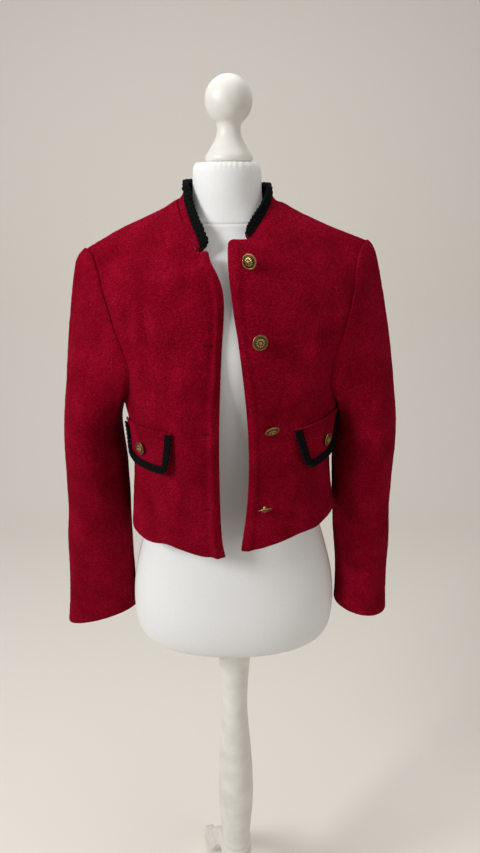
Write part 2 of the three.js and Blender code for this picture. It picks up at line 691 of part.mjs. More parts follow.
// Rows of the collar from the neckline up, as outer points, inner points and directions.
function collarGrid() {
  const edge = neckline();
  return edge.map((place, j) => {
    const part = j / (edge.length - 1);
    const from = new THREE.Vector3(place.point.x - NECK_ASIDE, place.point.y, 0);
    const lean = new THREE.Vector3(-from.x, Math.min(from.y * COLLAR.aim, 0) - from.y, 0).normalize();
    const inward = Math.min(read(COLLAR_LINE, 'part', part, 'inward'), collarRoom(from, lean));
    const wanted = lean.multiplyScalar(inward).setZ(read(COLLAR_LINE, 'part', part, 'rise'));
    const height = wanted.length();
    const hollow = (COLLAR.hollow * Math.max(inward, 0)) / height;
    const start = startAt(place, wanted.normalize(), COLLAR.wall);
    const across = start.inner.clone().sub(start.outer).normalize();
    return { ...start, across, height, hollow };
  });
}

// Puts a column half way between each two, and gives each column the levels of its rows: the
// neckline, one half way up to the braid, the braid's lower edge, the braid's middle and the top.
function refine(columns) {
  const halfWay = (a, b) => ({
    outer: a.outer.clone().lerp(b.outer, 0.5),
    direction: a.direction.clone().lerp(b.direction, 0.5).normalize(),
    across: a.across.clone().lerp(b.across, 0.5).normalize(),
    height: (a.height + b.height) / 2,
    hollow: (a.hollow + b.hollow) / 2,
  });
  const all = columns.flatMap((column, j) => (j ? [halfWay(columns[j - 1], column), column] : [column]));
  return all.map((column) => {
    const low = Math.max(column.height - BRAID.reach, BRAID.clear);
    return { ...column, levels: [0, low / 2, low, (low + column.height) / 2, column.height] };
  });
}

const collarColumns = refine(collarGrid());
const collarPoint = ({ outer, direction, across, height, hollow }, up, inward) => outer.clone()
  .addScaledVector(direction, up)
  .addScaledVector(across, inward + hollow * up * (height - up));

function collar() {
  const rows = (inward) => [0, 1, 2, 3, 4]
    .map((k) => collarColumns.map((column) => collarPoint(column, column.levels[k], inward)));
  return wall(rows(0), rows(COLLAR.wall));
}

// Braid folded over the collar's top edge: its section goes up the outside, over the edge and
// down the inside, 'grow' off the collar.
function collarBraid() {
  const section = (grow, bevel) => collarColumns.map((column) => {
    const [low, middle, top] = column.levels.slice(2);
    const into = COLLAR.wall + grow;
    return [
      collarPoint(column, low, -grow),
      collarPoint(column, middle, -grow),
      collarPoint(column, top, -grow),
      collarPoint(column, top + grow, bevel - grow),
      collarPoint(column, top + grow, into - bevel),
      collarPoint(column, top, into),
      collarPoint(column, middle, into),
      collarPoint(column, low, into),
    ];
  });
  return wall(section(BRAID.gap + BRAID.wall, 1.2), section(BRAID.gap, 0.1));
}

// ---------------------------------------------------------------- pocket flaps

// Point over the front: 'across' and 'down' in mm from the flap's top inner corner.
function flapPoint(side, across, down, lift) {
  const { arc, top, tilt, shear } = FLAP.place[side];
  const tilted = Math.tan(tilt * DEGREE);
  const height = top + across * tilted - down;
  const slant = (shear * down * (1 - across / FLAP.width)) / FLAP.height;
  const turn = turnAtArc(side, arc + across + slant, height);
  const lap = lapAtHeight(side, turn, height);
  return bodyPoint(side, turn, lap).addScaledVector(bodyNormal(side, turn, lap), lift);
}

// How far a flap's underside stands off the front: close along the top and at the end under
// the arm, flared at the bottom.
const flapLift = (across, down) => FLAP.lift
  + FLAP.flare * smooth((down - 4) / FLAP.height) * (1 - 0.75 * smooth(across / FLAP.width));

// Inset of the flap's side edges at a distance down: its bottom corners are round.
function cornerInset(down) {
  const into = down - (FLAP.height - FLAP.corner);
  return into > 0 ? FLAP.corner - Math.sqrt(Math.max(FLAP.corner ** 2 - into ** 2, 0)) : 0;
}

const flapRows = [
  ...steps(FLAP_GRID.down - 2).map((t) => t * (FLAP.height - FLAP.corner)),
  ...steps(FLAP_GRID.cornerSteps).slice(1)
    .map((t) => FLAP.height - FLAP.corner + FLAP.corner * Math.sin(t * 84 * DEGREE)),
];

function flap(side) {
  const grid = (lift) => flapRows.map((down) => steps(FLAP_GRID.across).map((u) => {
    const inset = cornerInset(down);
    const across = mix(inset, FLAP.width - inset, u);
    return flapPoint(side, across, down, flapLift(across, down) + lift);
  }));
  return wall(grid(FLAP.wall), grid(0));
}

// Outline of the flap's two sides and bottom, 'inset' in from the edge.
function flapOutline(inset) {
  const radius = FLAP.corner - inset;
  const low = FLAP.height - FLAP.corner;
  const corner = (middle, from) => steps(FLAP_GRID.cornerSteps).map((t) => {
    const angle = from + t * QUARTER;
    return { across: middle - radius * Math.cos(angle), down: low + radius * Math.sin(angle) };
  });
  const start = { across: inset, down: FLAP_BRAID.innerStart };
  const end = { across: FLAP.width - inset, down: FLAP_BRAID.outerStart };
  const middle = (a, b, t) => ({ across: mix(a.across, b.across, t), down: mix(a.down, b.down, t) });
  const first = corner(FLAP.corner, 0);
  const second = corner(FLAP.width - FLAP.corner, QUARTER);
  return [
    start, middle(start, first[0], 0.5),
    ...first,
    ...[0.2, 0.4, 0.6, 0.8].map((t) => middle(first.at(-1), second[0], t)),
    ...second,
    middle(second.at(-1), end, 0.5), end,
  ];
}

// Braid laid on the flap along that outline.
function flapBraid(side) {
  const lines = [-FLAP_BRAID.over, FLAP_BRAID.width * 0.4, FLAP_BRAID.width].map(flapOutline);
  const base = FLAP.wall + 2 * BEND_GAP;
  const grid = (rise) => lines.map((line, k) => line.map(({ across, down }) => flapPoint(
    side, across, down, flapLift(across, down) + base + rise * (k === 1 ? 1.15 : 0.8),
  )));
  return wall(grid(FLAP_BRAID.wall), grid(0));
}

// ---------------------------------------------------------------- buttons

function buttonGeometry(scale) {
  const { radius, rim, dome, shank, shankRadius } = BUTTON;
  const profile = table('height radius', [
    [-shank, shankRadius], [0, shankRadius], [0.2, radius - 1.4], [rim / 2, radius], [rim, radius - 0.5],
    [rim - 0.3, radius - 1.7], [rim + dome * 0.6, radius * 0.5], [rim + dome, radius * 0.12],
  ]).map((row) => ({ height: row.height * scale, radius: row.radius * scale }));
  return turned(profile, BUTTON.sides);
}

// A button standing on a surface point, turned by yaw about +Z and pitched to face down.
function button(spot, normal, scale, yaw, pitch) {
  const facing = new THREE.Vector3(normal.x, normal.y, 0).normalize();
  facing.applyAxisAngle(new THREE.Vector3(0, 0, 1), yaw * DEGREE);
  facing.multiplyScalar(Math.cos(pitch * DEGREE)).add(new THREE.Vector3(0, 0, -Math.sin(pitch * DEGREE)));
  const lean = Math.acos(Math.min(facing.dot(normal), 1));
  const clear = SEAM_GAP * 2 + scale * Math.max(
    BUTTON.shank * Math.cos(lean) + BUTTON.shankRadius * Math.sin(lean),
    BUTTON.radius * Math.sin(lean),
  );
  const geometry = buttonGeometry(scale);
  geometry.applyQuaternion(new THREE.Quaternion().setFromUnitVectors(new THREE.Vector3(0, 0, 1), facing));
  const place = spot.clone().addScaledVector(normal, clear);
  geometry.translate(place.x, place.y, place.z);
  return geometry;
}

function frontButton({ out, height, yaw, pitch }) {
  const { turn, lap } = onBody(LEFT, out, height);
  return button(bodyPoint(LEFT, turn, lap), bodyNormal(LEFT, turn, lap), 1, yaw, pitch);
}

function flapButton(side) {
  const down = FLAP.height * 0.55;
  const at = (across, low) => flapPoint(side, across, low, flapLift(across, low) + FLAP.wall);
  const middle = FLAP.width / 2;
  const spot = at(middle, down);
  const round = at(middle + 4, down).sub(at(middle - 4, down));
  const fall = at(middle, down + 4).sub(at(middle, down - 4));
  const normal = fall.cross(round).multiplyScalar(side).normalize();
  return button(spot, normal, BUTTON_SCALE_FLAP, 0, 4);
}

// ---------------------------------------------------------------- dress form

function torso() {
  const rings = TORSO.map((row) => Array.from({ length: TORSO_SIDES }, (_, i) => {
    const angle = (2 * Math.PI * i) / TORSO_SIDES;
    const across = Math.cos(angle);
    const ahead = Math.sin(angle);
    const power = 2 / row.square;
    const aside = NECK_ASIDE * smooth((row.height - 1400) / 50);
    return new THREE.Vector3(
      aside + row.half * Math.sign(across) * Math.abs(across) ** power,
      (ahead < 0 ? row.front : row.back) * Math.sign(ahead) * Math.abs(ahead) ** power,
      row.height,
    );
  }));
  const ends = [TORSO[0], TORSO.at(-1)].map(({ height }) => new THREE.Vector3(0, 0, height));
  return loft(rings, ends);
}

// Neck cap with its ball, as one turned piece.
function formCap() {
  const ball = steps(BALL.steps).slice(0, -1).map((t) => {
    const angle = mix(BALL.from * DEGREE, QUARTER, t);
    return {
      height: BALL.middle + BALL.radius * Math.sin(angle),
      radius: Math.max(BALL.radius * Math.cos(angle), 1),
    };
  });
  const tip = { height: BALL.middle + BALL.radius * 0.998, radius: BALL.radius * 0.06 };
  return turned([...CAP_PROFILE, ...ball, tip], WOOD_SIDES);
}

// One leg: a curved board with rounded edges that ends in a foot flat on the floor.
function leg(direction) {
  const angle = direction * DEGREE;
  const rows = LEG_LINE.map((row, i) => ({ ...row, part: i / (LEG_LINE.length - 1) }));
  const middle = (t) => new THREE.Vector2(read(rows, 'part', t, 'out'), read(rows, 'part', t, 'height'));
  const place = (out, across, height) => new THREE.Vector3(
    out * Math.cos(angle) - across * Math.sin(angle),
    out * Math.sin(angle) + across * Math.cos(angle),
    Math.max(height, 0),
  );
  const corners = [
    [-1, -0.55], [-0.8, -1], [0.8, -1], [1, -0.55], [1, 0.55], [0.8, 1], [-0.8, 1], [-1, 0.55],
  ];
  const ring = (t, shrink) => {
    const here = middle(t);
    const ahead = middle(Math.min(t + SMALL, 1)).sub(middle(Math.max(t - SMALL, 0))).normalize();
    if (t === 0) ahead.set(1, 0);
    const half = read(rows, 'part', t, 'half') * shrink;
    return corners.map(([up, across]) => place(
      here.x - ahead.y * half * up,
      (across * LEG.thick * shrink) / 2,
      here.y + ahead.x * half * up,
    ));
  };
  const rings = steps(LEG_STEPS).map((t) => ring(t, 1));
  const last = LEG_LINE.at(-1);
  const toe = steps(FOOT_STEPS).slice(1, -1).map((t) => {
    const around = t * QUARTER;
    return corners.map(([up, across]) => place(
      last.out + last.half * Math.sin(around),
      (across * LEG.thick * Math.cos(around) ** 0.5) / 2,
      last.height + last.half * up * Math.cos(around),
    ));
  });
  return loft([...rings, ...toe]);
}

// ---------------------------------------------------------------- the scene graph

const MATERIALS = {
  wool: { color: 0x8c0b20, roughness: 0.95, metalness: 0 },
  braid: { color: 0x0b0c0e, roughness: 0.85, metalness: 0 },
  gold: { color: 0xa98544, roughness: 0.35, metalness: 0.9 },
  jersey: { color: 0xe9e6e1, roughness: 0.9, metalness: 0 },
  paint: { color: 0xebe6dd, roughness: 0.4, metalness: 0 },
};

const root = new THREE.Group();

function addPiece(name, geometry, finish) {
  const mesh = new THREE.Mesh(geometry, new THREE.MeshStandardMaterial(MATERIALS[finish]));
  mesh.name = name;
  root.add(mesh);
}

addPiece('back', wall(back.outer, back.inner), 'wool');
for (const [side, word] of [[RIGHT, 'right'], [LEFT, 'left']]) {
  addPiece(`front_${word}`, wall(fronts[side].outer, fronts[side].inner), 'wool');
  addPiece(`sleeve_${word}`, sleeve(side), 'wool');
  addPiece(`flap_${word}`, flap(side), 'wool');
  addPiece(`flap_trim_${word}`, flapBraid(side), 'braid');
  addPiece(`flap_button_${word}`, flapButton(side), 'gold');
}
addPiece('collar', collar(), 'wool');
addPiece('collar_trim', collarBraid(), 'braid');
BUTTONS.forEach((row, i) => addPiece(`button_${i + 1}`, frontButton(row), 'gold'));
addPiece('form_torso', torso(), 'jersey');
addPiece('form_cap', formCap(), 'paint');
addPiece('form_pole', turned(POLE_PROFILE, WOOD_SIDES), 'paint');
addPiece('form_hub', turned(HUB_PROFILE, WOOD_SIDES), 'paint');
LEG.directions.forEach((direction, i) => addPiece(`leg_${i + 1}`, leg(direction), 'paint'));

// The origin is on the floor, under the middle of the whole outline.
const reach = new THREE.Box3().setFromObject(root);
root.position.set(-(reach.min.x + reach.max.x) / 2, -(reach.min.y + reach.max.y) / 2, 0);

export default root;
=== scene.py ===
import math

import bpy
import numpy as np
from mathutils import Matrix, Vector


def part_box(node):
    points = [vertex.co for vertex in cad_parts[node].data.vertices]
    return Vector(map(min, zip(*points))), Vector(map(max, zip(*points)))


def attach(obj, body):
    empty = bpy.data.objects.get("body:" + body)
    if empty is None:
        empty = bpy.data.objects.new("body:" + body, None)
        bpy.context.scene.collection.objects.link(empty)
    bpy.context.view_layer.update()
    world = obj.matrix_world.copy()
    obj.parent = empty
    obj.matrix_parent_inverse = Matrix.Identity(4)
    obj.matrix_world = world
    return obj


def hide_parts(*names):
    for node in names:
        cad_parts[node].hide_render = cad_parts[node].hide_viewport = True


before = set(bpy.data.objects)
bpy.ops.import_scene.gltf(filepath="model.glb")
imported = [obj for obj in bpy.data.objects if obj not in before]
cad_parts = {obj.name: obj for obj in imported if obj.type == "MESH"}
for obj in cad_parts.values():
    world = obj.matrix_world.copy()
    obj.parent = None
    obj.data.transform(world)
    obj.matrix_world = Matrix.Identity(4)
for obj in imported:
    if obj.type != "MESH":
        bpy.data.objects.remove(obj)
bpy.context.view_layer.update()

# Lengths below are millimetres in the form's own frame: the pole's axis is x = 0, y = 0, the
# floor is z = 0 and the jacket faces -Y. Meshes are made in metres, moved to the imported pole.
POLE_LOW, POLE_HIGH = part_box("form_pole")
AXIS = np.array([(POLE_LOW.x + POLE_HIGH.x) / 2, (POLE_LOW.y + POLE_HIGH.y) / 2, 0.0])
MM = 0.001
RIGHT, LEFT = -1, 1
WORD = {RIGHT: "right", LEFT: "left"}
QUARTER = math.pi / 2
DEGREE = math.pi / 180
SMALL = 1e-3
SEAM_GAP = 0.3
BEND_GAP = 0.6
SEWN_GAP = 0.2
WOOL = 3.0


# ---------------------------------------------------------------- numbers and tables

def mix(a, b, t):
    return a + (b - a) * t


def smooth(t):
    part = np.clip(t, 0, 1)
    return part * part * (3 - 2 * part)


def bell(at, middle, width):
    """A smooth bump of height 1."""
    return np.exp(-(((at - middle) / width) ** 2))


def unit(vectors):
    length = np.linalg.norm(vectors, axis=-1, keepdims=True)
    return vectors / np.maximum(length, 1e-9)


def table(names, rows):
    """Columns of numbers by name."""
    return dict(zip(names.split(), np.array(rows, float).T))


def read(rows, along, at, column):
    """One column at places along another, on a smooth curve through the rows."""
    x, y = rows[along], rows[column]
    last = len(x) - 1
    at = np.clip(np.asarray(at, float), x[0], x[last])
    i = np.clip(np.searchsorted(x, at, side="left") - 1, 0, last - 1)
    before = np.maximum(np.arange(last + 1) - 1, 0)
    after = np.minimum(np.arange(last + 1) + 1, last)
    slope = (y[after] - y[before]) / (x[after] - x[before])
    span = x[i + 1] - x[i]
    t = (at - x[i]) / span
    ease = smooth(t)
    bend = slope[i] * (1 - t) - slope[i + 1] * t
    return y[i] * (1 - ease) + y[i + 1] * ease + span * t * (1 - t) * bend


# ---------------------------------------------------------------- the jacket's sizes

SHOULDERS = table("x height", [
    [-210, 1371], [-193, 1381], [-148, 1405], [-111, 1421], [-87, 1432], [-66, 1443.5],
    [-30, 1451.5], [0, 1453], [30, 1449.5], [54, 1444], [71, 1437], [88, 1428], [104, 1420.5],
    [135, 1407], [183, 1389], [200, 1381.5],
])
ROUNDING = 120
SQUARENESS = 2.4
BODY = table("drop half_right half_left front back", [
    [0, 195, 184, 60, 92], [30, 194, 184, 70, 93], [50, 192, 184, 81, 94], [65, 190, 184, 87, 95],
    [90, 184, 181, 97, 98], [130, 176, 174, 108, 102], [190, 164, 162, 118, 103],
    [250, 151, 150, 123, 99], [300, 146, 145, 125, 94], [340, 147, 147, 126, 94],
    [400, 152, 154, 127, 104], [480, 156, 158, 128, 112],
])
FOLD_NAMES = "turn drop width lean reach depth"
FOLDS = {
    RIGHT: table(FOLD_NAMES, [
        [22, 330, 7, 6, 150, 3], [40, 420, 8, -8, 110, -4], [58, 240, 8, 10, 90, -3],
        [118, 300, 9, -6, 170, -3.5], [138, 400, 9, 5, 120, 3.5], [152, 240, 7, 4, 130, -2.5],
    ]),
    LEFT: table(FOLD_NAMES, [
        [24, 240, 8, -8, 150, -3], [44, 400, 9, 8, 130, 3.5], [60, 220, 8, 12, 90, -3],
        [114, 330, 9, 6, 160, -3], [132, 410, 9, -6, 120, 4], [150, 300, 7, -4, 140, -3],
    ]),
}
FOLD_START = 70
EDGE = {
    RIGHT: table("height out", [
        [972, 9], [1000, 13.5], [1060, 15.5], [1134, 15.5], [1202, 13.5], [1267, 10],
        [1300, 7.5], [1322, 6.8], [1340, 9], [1357, 15.5], [1369, 22.5], [1382, 26],
    ]),
    LEFT: table("height out", [
        [982, 12], [1007, 15.5], [1046, 20.5], [1105, 23.5], [1161, 22], [1215, 17.5],
        [1280, 9.5], [1304, 5.5], [1329, 2.4], [1352, -0.5], [1375, -2], [1396, -1.5],
    ]),
}
HEM = {
    RIGHT: table("turn height", [
        [2, 972], [12, 974], [22, 979], [31, 983], [44, 979], [60, 977], [90, 980],
    ]),
    LEFT: table("turn height", [
        [2, 982], [8, 984.5], [20, 992], [32, 999], [46, 1003], [62, 1006], [90, 1006],
    ]),
}
HEM_BACK = table("turn height", [
    [-90, 980], [-60, 984], [-30, 988], [0, 992], [30, 997], [60, 1003], [90, 1006],
])
NECK = {
    RIGHT: table("part out height", [
        [0, 26, 1382], [0.14, 39, 1381], [0.3, 46, 1391], [0.5, 55, 1407.5], [0.75, 65, 1429],
        [1, 69, 1441.9],
    ]),
    LEFT: table("part out height", [
        [0, -1.5, 1396], [0.2, 17, 1395.4], [0.3, 25.5, 1396], [0.44, 36, 1401.5], [0.6, 49, 1413],
        [0.8, 63, 1427], [1, 71, 1437],
    ]),
}
NECK_DROP_BACK = 25
ARMHOLE_FRONT = table("part turn drop", [
    [0, 90, 0], [0.08, 73, 9], [0.18, 64, 33], [0.34, 59.5, 75], [0.5, 57, 115],
    [0.65, 54, 155], [0.79, 54.5, 190], [0.88, 62, 212], [0.95, 76, 224], [1, 90, 228],
])
ARMHOLE_BACK = table("part turn drop", [
    [0, 90, 0], [0.08, 74, 9], [0.18, 66, 33], [0.34, 62, 75], [0.5, 60, 115],
    [0.65, 58, 155], [0.79, 59, 190], [0.88, 66, 212], [0.95, 78, 224], [1, 90, 228],
])
HEM_ROWS, ARMHOLE_ROWS, EDGE_ROWS, NECK_ROWS = 7, 13, 13, 7
SHOULDER_COLUMNS, NECK_BACK_COLUMNS = 6, 10
LAST_ROW = HEM_ROWS + ARMHOLE_ROWS
BACK_COLUMNS = 2 * SHOULDER_COLUMNS + NECK_BACK_COLUMNS

SLEEVE_NAMES = "height out back half_wide half_deep slope"
SLEEVE = {
    RIGHT: table(SLEEVE_NAMES, [
        [1112, 206.6, 2, 40.8, 62, 0.4], [1060, 206.8, 4, 43.8, 57, 0.28],
        [1000, 208.4, 4, 45.8, 51, 0.2], [940, 212, 2, 48, 43, 0.18],
        [880, 212.8, -1, 50, 35, 0.18], [830, 214.8, -5, 52.2, 28, 0.22],
        [800, 216.5, -8, 55, 23, 0.3],
    ]),
    LEFT: table(SLEEVE_NAMES, [
        [1112, 199, 2, 42, 60, 0.4], [1060, 198.2, 4, 42.8, 55, 0.28],
        [1000, 199.6, 4, 42, 50, 0.2], [940, 203.2, 2, 41, 46, 0.15], [880, 206, 0, 38, 43, 0.12],
        [840, 207, -3, 38.4, 41, 0.12], [815, 207.4, -5, 39.6, 39, 0.16],
    ]),
}
CAP_ROLL_TOP = {RIGHT: 16, LEFT: 11}
CAP_ROLL_LOW, CAP_AHEAD, CAP_DOWN, CAP_PULL = 6, 0.3, 0.7, 0.55
SLEEVE_BENDS = table("height side depth", [[1035, -1, 2.5], [990, 1, 3], [900, -1, 2]])

COLLAR_WALL, COLLAR_STAND, NECK_ASIDE = 3, 54.8, -3
COLLAR_AIM, COLLAR_HOLLOW = 0.75, 0.036
COLLAR_LINE = table("part rise inward", [
    [0, 3, 10], [0.03, 8, 13], [0.08, 11, 13.5], [0.14, 13, 12], [0.2, 16, 11], [0.3, 22, 12],
    [0.4, 29, 18], [0.5, 33, 20], [0.6, 30, 24], [0.7, 24, 24], [0.78, 18, 17.5], [0.86, 13, 15],
    [0.92, 9.5, 13.5], [0.97, 7, 10], [1, 3, 7],
])
COLLAR_START = {RIGHT: 1, LEFT: 2}
BRAID_WALL, BRAID_GAP, BRAID_REACH, BRAID_CLEAR = 2.4, 0.4, 9.5, 1.2

FLAP_WALL, FLAP_WIDTH, FLAP_HEIGHT, FLAP_CORNER, FLAP_LIFT, FLAP_FLARE = 2.6, 102, 56, 13, 0.9, 6
FLAP_PLACE = {
    RIGHT: {"arc": 78, "top": 1154, "tilt": -0.5, "shear": 4},
    LEFT: {"arc": 85, "top": 1158, "tilt": 4.5, "shear": 14},
}
FLAP_BRAID_WIDTH, FLAP_BRAID_WALL, FLAP_BRAID_OVER = 9.5, 2.4, 1.5
FLAP_BRAID_STEPS, FLAP_BRAID_BULGE = (44, 18, 76), 0.75

BUTTON_RADIUS, BUTTON_RIM, BUTTON_DOME, BUTTON_SHANK, BUTTON_SHANK_RADIUS = 10, 2, 2.4, 3, 2.6
BUTTON_SCALE_FLAP = 0.88
BUTTONS = table("out height yaw pitch", [
    [24, 1366, -38, 8], [37, 1274, 8, 4], [51.5, 1160, 4, 42], [43, 1051, 10, 58],
])

TORSO = table("height half front back square", [
    [764, 128, 74, 88, 2.2], [767, 141, 84, 99, 2.2], [775, 152, 93, 109, 2.2],
    [789, 158, 100, 115, 2.2], [812, 161, 105, 118, 2.2], [840, 161.5, 106, 118, 2.2],
    [875, 158, 103, 113, 2.2], [915, 149, 98, 104, 2.2], [960, 136, 91, 92, 2.2],
    [1005, 123, 85, 80, 2.2], [1045, 115, 81, 74, 2.2], [1080, 116, 83, 75, 2.2],
    [1120, 124, 90, 79, 2.2], [1165, 134, 99, 84, 2.2], [1205, 140, 107, 88, 2.2],
    [1245, 143, 111, 90, 2.2], [1285, 146, 106, 90, 2.2], [1325, 151, 93, 88, 2.1],
    [1352, 155, 78, 82, 2], [1370, 153, 66, 74, 1.9], [1382, 143, 58, 66, 1.8],
    [1392, 122, 53, 60, 1.8], [1401, 99, 49.5, 56, 1.8], [1410, 75, 47.5, 52, 2],
    [1420, 57, 46.5, 48.5, 2], [1433, 48.5, 45.5, 46.5, 2], [1450, 45.5, 45.5, 45.5, 2],
    [1470, 45, 45, 45, 2], [1481, 43.5, 43.5, 43.5, 2], [1486, 40.5, 40.5, 40.5, 2],
])
CAP_PROFILE = [
    [1486.3, 27], [1488.5, 30.2], [1491, 31], [1495, 30], [1503, 24.5], [1513, 18.5], [1521, 15.5],
    [1526, 15], [1530, 15.4], [1533, 16.6],
]
BALL_MIDDLE, BALL_RADIUS, BALL_FROM = 1559, 30.3, -54
POLE_PROFILE = [
    [246, 27], [252, 28.2], [258, 27], [262, 26.5], [267, 27.8], [272, 27.8], [277, 26.5],
    [284, 26.3], [313, 28.2], [363, 32], [408, 32.3], [475, 29.8], [540, 24.9], [586, 22.1],
    [632, 22.6], [676, 25.3], [708, 27.2], [740, 28], [763.7, 28],
]
HUB_PROFILE = [
    [92, 18], [96, 24], [106, 29], [120, 31], [200, 31], [214, 30], [228, 29], [238, 29.4],
    [245.7, 28],
]


# ---------------------------------------------------------------- surface of the body

def shoulder_height(x):
    return read(SHOULDERS, "x", x, "height")


def drop_of(lap):
    quarter = ROUNDING * QUARTER
    rounded = ROUNDING * (1 - np.cos(np.minimum(lap, quarter) / ROUNDING))
    return np.where(lap < quarter, rounded, ROUNDING + lap - quarter)


def lap_of(drop):
    rounded = ROUNDING * np.arccos(np.clip(1 - drop / ROUNDING, 0, 1))
    return np.where(drop >= ROUNDING, ROUNDING * QUARTER + drop - ROUNDING, rounded)


def half_width(side, drop):
    return read(BODY, "drop", drop, "half_right" if side < 0 else "half_left")


def fold_depth(side, turn, drop):
    folds = FOLDS[side]
    depth = 0
    for i in range(len(folds["turn"])):
        along = (drop - folds["drop"][i]) / folds["reach"][i]
        middle = folds["turn"][i] + folds["lean"][i] * along
        across = (turn / DEGREE - middle) / folds["width"][i]
        depth = depth + folds["depth"][i] * np.exp(-across * across - along * along)
    return depth * smooth(drop / FOLD_START)


def body_point(side, turn, lap):
    """Outer surface: turn from the middle of the front to the middle of the back, lap down."""
    turn, lap = np.broadcast_arrays(np.asarray(turn, float), np.asarray(lap, float))
    turn = np.where(lap < 0, math.pi - turn, turn)
    lap = np.abs(lap)
    across, ahead = np.sin(turn), np.cos(turn)
    drop = drop_of(lap)
    x = side * np.sign(across) * half_width(side, drop) * np.abs(across) ** (2 / SQUARENESS)
    depth = np.where(ahead > 0, read(BODY, "drop", drop, "front"), read(BODY, "drop", drop, "back"))
    arch = np.sin(np.minimum(lap / ROUNDING, QUARTER))
    y = -np.sign(ahead) * depth * arch * np.abs(ahead) ** (2 / SQUARENESS)
    fold = fold_depth(side, turn, drop)
    return np.stack([x + fold * side * across, y - fold * ahead, shoulder_height(x) - drop], -1)


def body_normal(side, turn, lap):
    inside = np.minimum(np.minimum(turn, math.pi - turn), QUARTER - 0.15)
    turn = np.where(lap < SMALL, inside, turn)
    around = body_point(side, turn + SMALL, lap) - body_point(side, turn - SMALL, lap)
    down = body_point(side, turn, lap + SMALL) - body_point(side, turn, lap - SMALL)
    return unit(np.cross(down, around) * side)


def on_body(side, out, height):
    """Turn and lap of the surface point at a distance out from the middle plane and a height."""
    drop = np.maximum(shoulder_height(side * out) - height, 0)
    part = np.minimum(np.abs(out) / half_width(side, drop), 1)
    return np.sign(out) * np.arcsin(part ** (SQUARENESS / 2)), lap_of(drop)


def lap_at_height(side, turn, height):
    drop = shoulder_height(0) - height
    for _ in range(6):
        x = side * half_width(side, drop) * np.abs(np.sin(turn)) ** (2 / SQUARENESS)
        drop = shoulder_height(x) - height
    return lap_of(drop)


# Arc length round the body from the middle of the front, by height and turn.
ARC_STEP = 8.0
ARC_HEIGHTS = np.arange(1040, 1200, ARC_STEP)
ARC_TURNS = np.arange(0, 130.1, 0.5) * DEGREE


def arc_table(side):
    rows = []
    for height in ARC_HEIGHTS:
        line = body_point(side, ARC_TURNS, lap_at_height(side, ARC_TURNS, height))
        run = np.linalg.norm(np.diff(line, axis=0), axis=1)
        rows.append(np.concatenate([[0], np.cumsum(run)]))
    return np.array(rows)


ARCS = {side: arc_table(side) for side in (RIGHT, LEFT)}


def turn_at_arc(side, arc, height):
    shape = np.broadcast(arc, height).shape
    arc, height = (np.broadcast_to(values, shape).reshape(-1) for values in (arc, height))
    level = np.clip((height - ARC_HEIGHTS[0]) / ARC_STEP, 0, len(ARC_HEIGHTS) - 1.001)
    low = level.astype(int)
    turns = np.zeros((2, len(arc)))
    for k in range(len(ARC_HEIGHTS)):
        for up in (0, 1):
            here = low + up == k
            turns[up][here] = np.interp(arc[here], ARCS[side][k], ARC_TURNS)
    return mix(turns[0], turns[1], level - low).reshape(shape)


# ---------------------------------------------------------------- noise

def lattice(cell, seed):
    """Repeatable random numbers from -1 to 1 for whole-number cells."""
    n = (cell[..., 0] * 73856093) ^ (cell[..., 1] * 19349663) ^ (cell[..., 2] * 83492791)
    n = n ^ (seed * 2654435)
    n = (n ^ (n >> 13)) * 1274126177
    n = n ^ (n >> 16)
    return (n & 0xFFFF) / 32767.5 - 1


def noise(points, size, seed):
    """Soft noise from -1 to 1 with lumps of a size in mm."""
    scaled = points / size
    base = np.floor(scaled).astype(np.int64)
    t = smooth(scaled - base)
    total = 0
    for corner in range(8):
        step = np.array([corner & 1, (corner >> 1) & 1, corner >> 2])
        weight = np.prod(np.where(step, t, 1 - t), axis=-1)
        total = total + weight * lattice(base + step, seed)
    return total


def boucle(points):
    """Height of the loopy surface of the wool."""
    return 0.34 * noise(points, 5.2, 3) + 0.22 * noise(points, 2.9, 7) + 0.25 * noise(points, 14, 11)


# ---------------------------------------------------------------- meshes

def to_world(points):
    return points.reshape(-1, 3) * MM + AXIS


def new_object(name, points, faces, finish):
    """A smooth object from points in mm and the point numbers of its faces."""
    mesh = bpy.data.meshes.new(name)
    mesh.from_pydata(to_world(points).tolist(), [], [list(map(int, f)) for f in faces])
    mesh.shade_smooth()
    mesh.materials.append(finish)
    piece = bpy.data.objects.new(name, mesh)
    bpy.context.scene.collection.objects.link(piece)
    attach(piece, "root")
    return piece


def outward(points, faces):
    """The faces, turned over if they enclose a negative volume."""
    a, b, c = (points[faces[:, k]] for k in (0, 1, 2))
    d = points[faces[:, 3]]
    volume = np.sum(a * np.cross(b, c)) + np.sum(a * np.cross(c, d))
    return faces[:, ::-1] if volume < 0 else faces


def quads(index, joined):
    """Faces of a grid of point numbers, closed from its last column to its first if joined."""
    if joined:
        index = np.concatenate([index, index[:, :1]], axis=1)
    a, b, c, d = index[:-1, :-1], index[:-1, 1:], index[1:, 1:], index[1:, :-1]
    return np.stack([a, b, c, d], -1).reshape(-1, 4)


def closed_wall(name, outer, inner, finish, joined=False):
    """A closed piece between two grids of points, which meet along its rims."""
    rows, columns = outer.shape[:2]
    rim = np.zeros((rows, columns), bool)
    rim[[0, -1], :] = True
    if not joined:
        rim[:, [0, -1]] = True
    outer = np.where(rim[..., None], (outer + inner) / 2, outer)
    index_out = np.arange(rows * columns).reshape(rows, columns)
    index_in = index_out.copy()
    index_in[~rim] = rows * columns + np.arange(np.count_nonzero(~rim))
    points = np.concatenate([outer.reshape(-1, 3), inner[~rim]])
    faces = np.concatenate([quads(index_out, joined), quads(index_in, joined)[:, ::-1]])
    return new_object(name, points, outward(points, faces), finish)


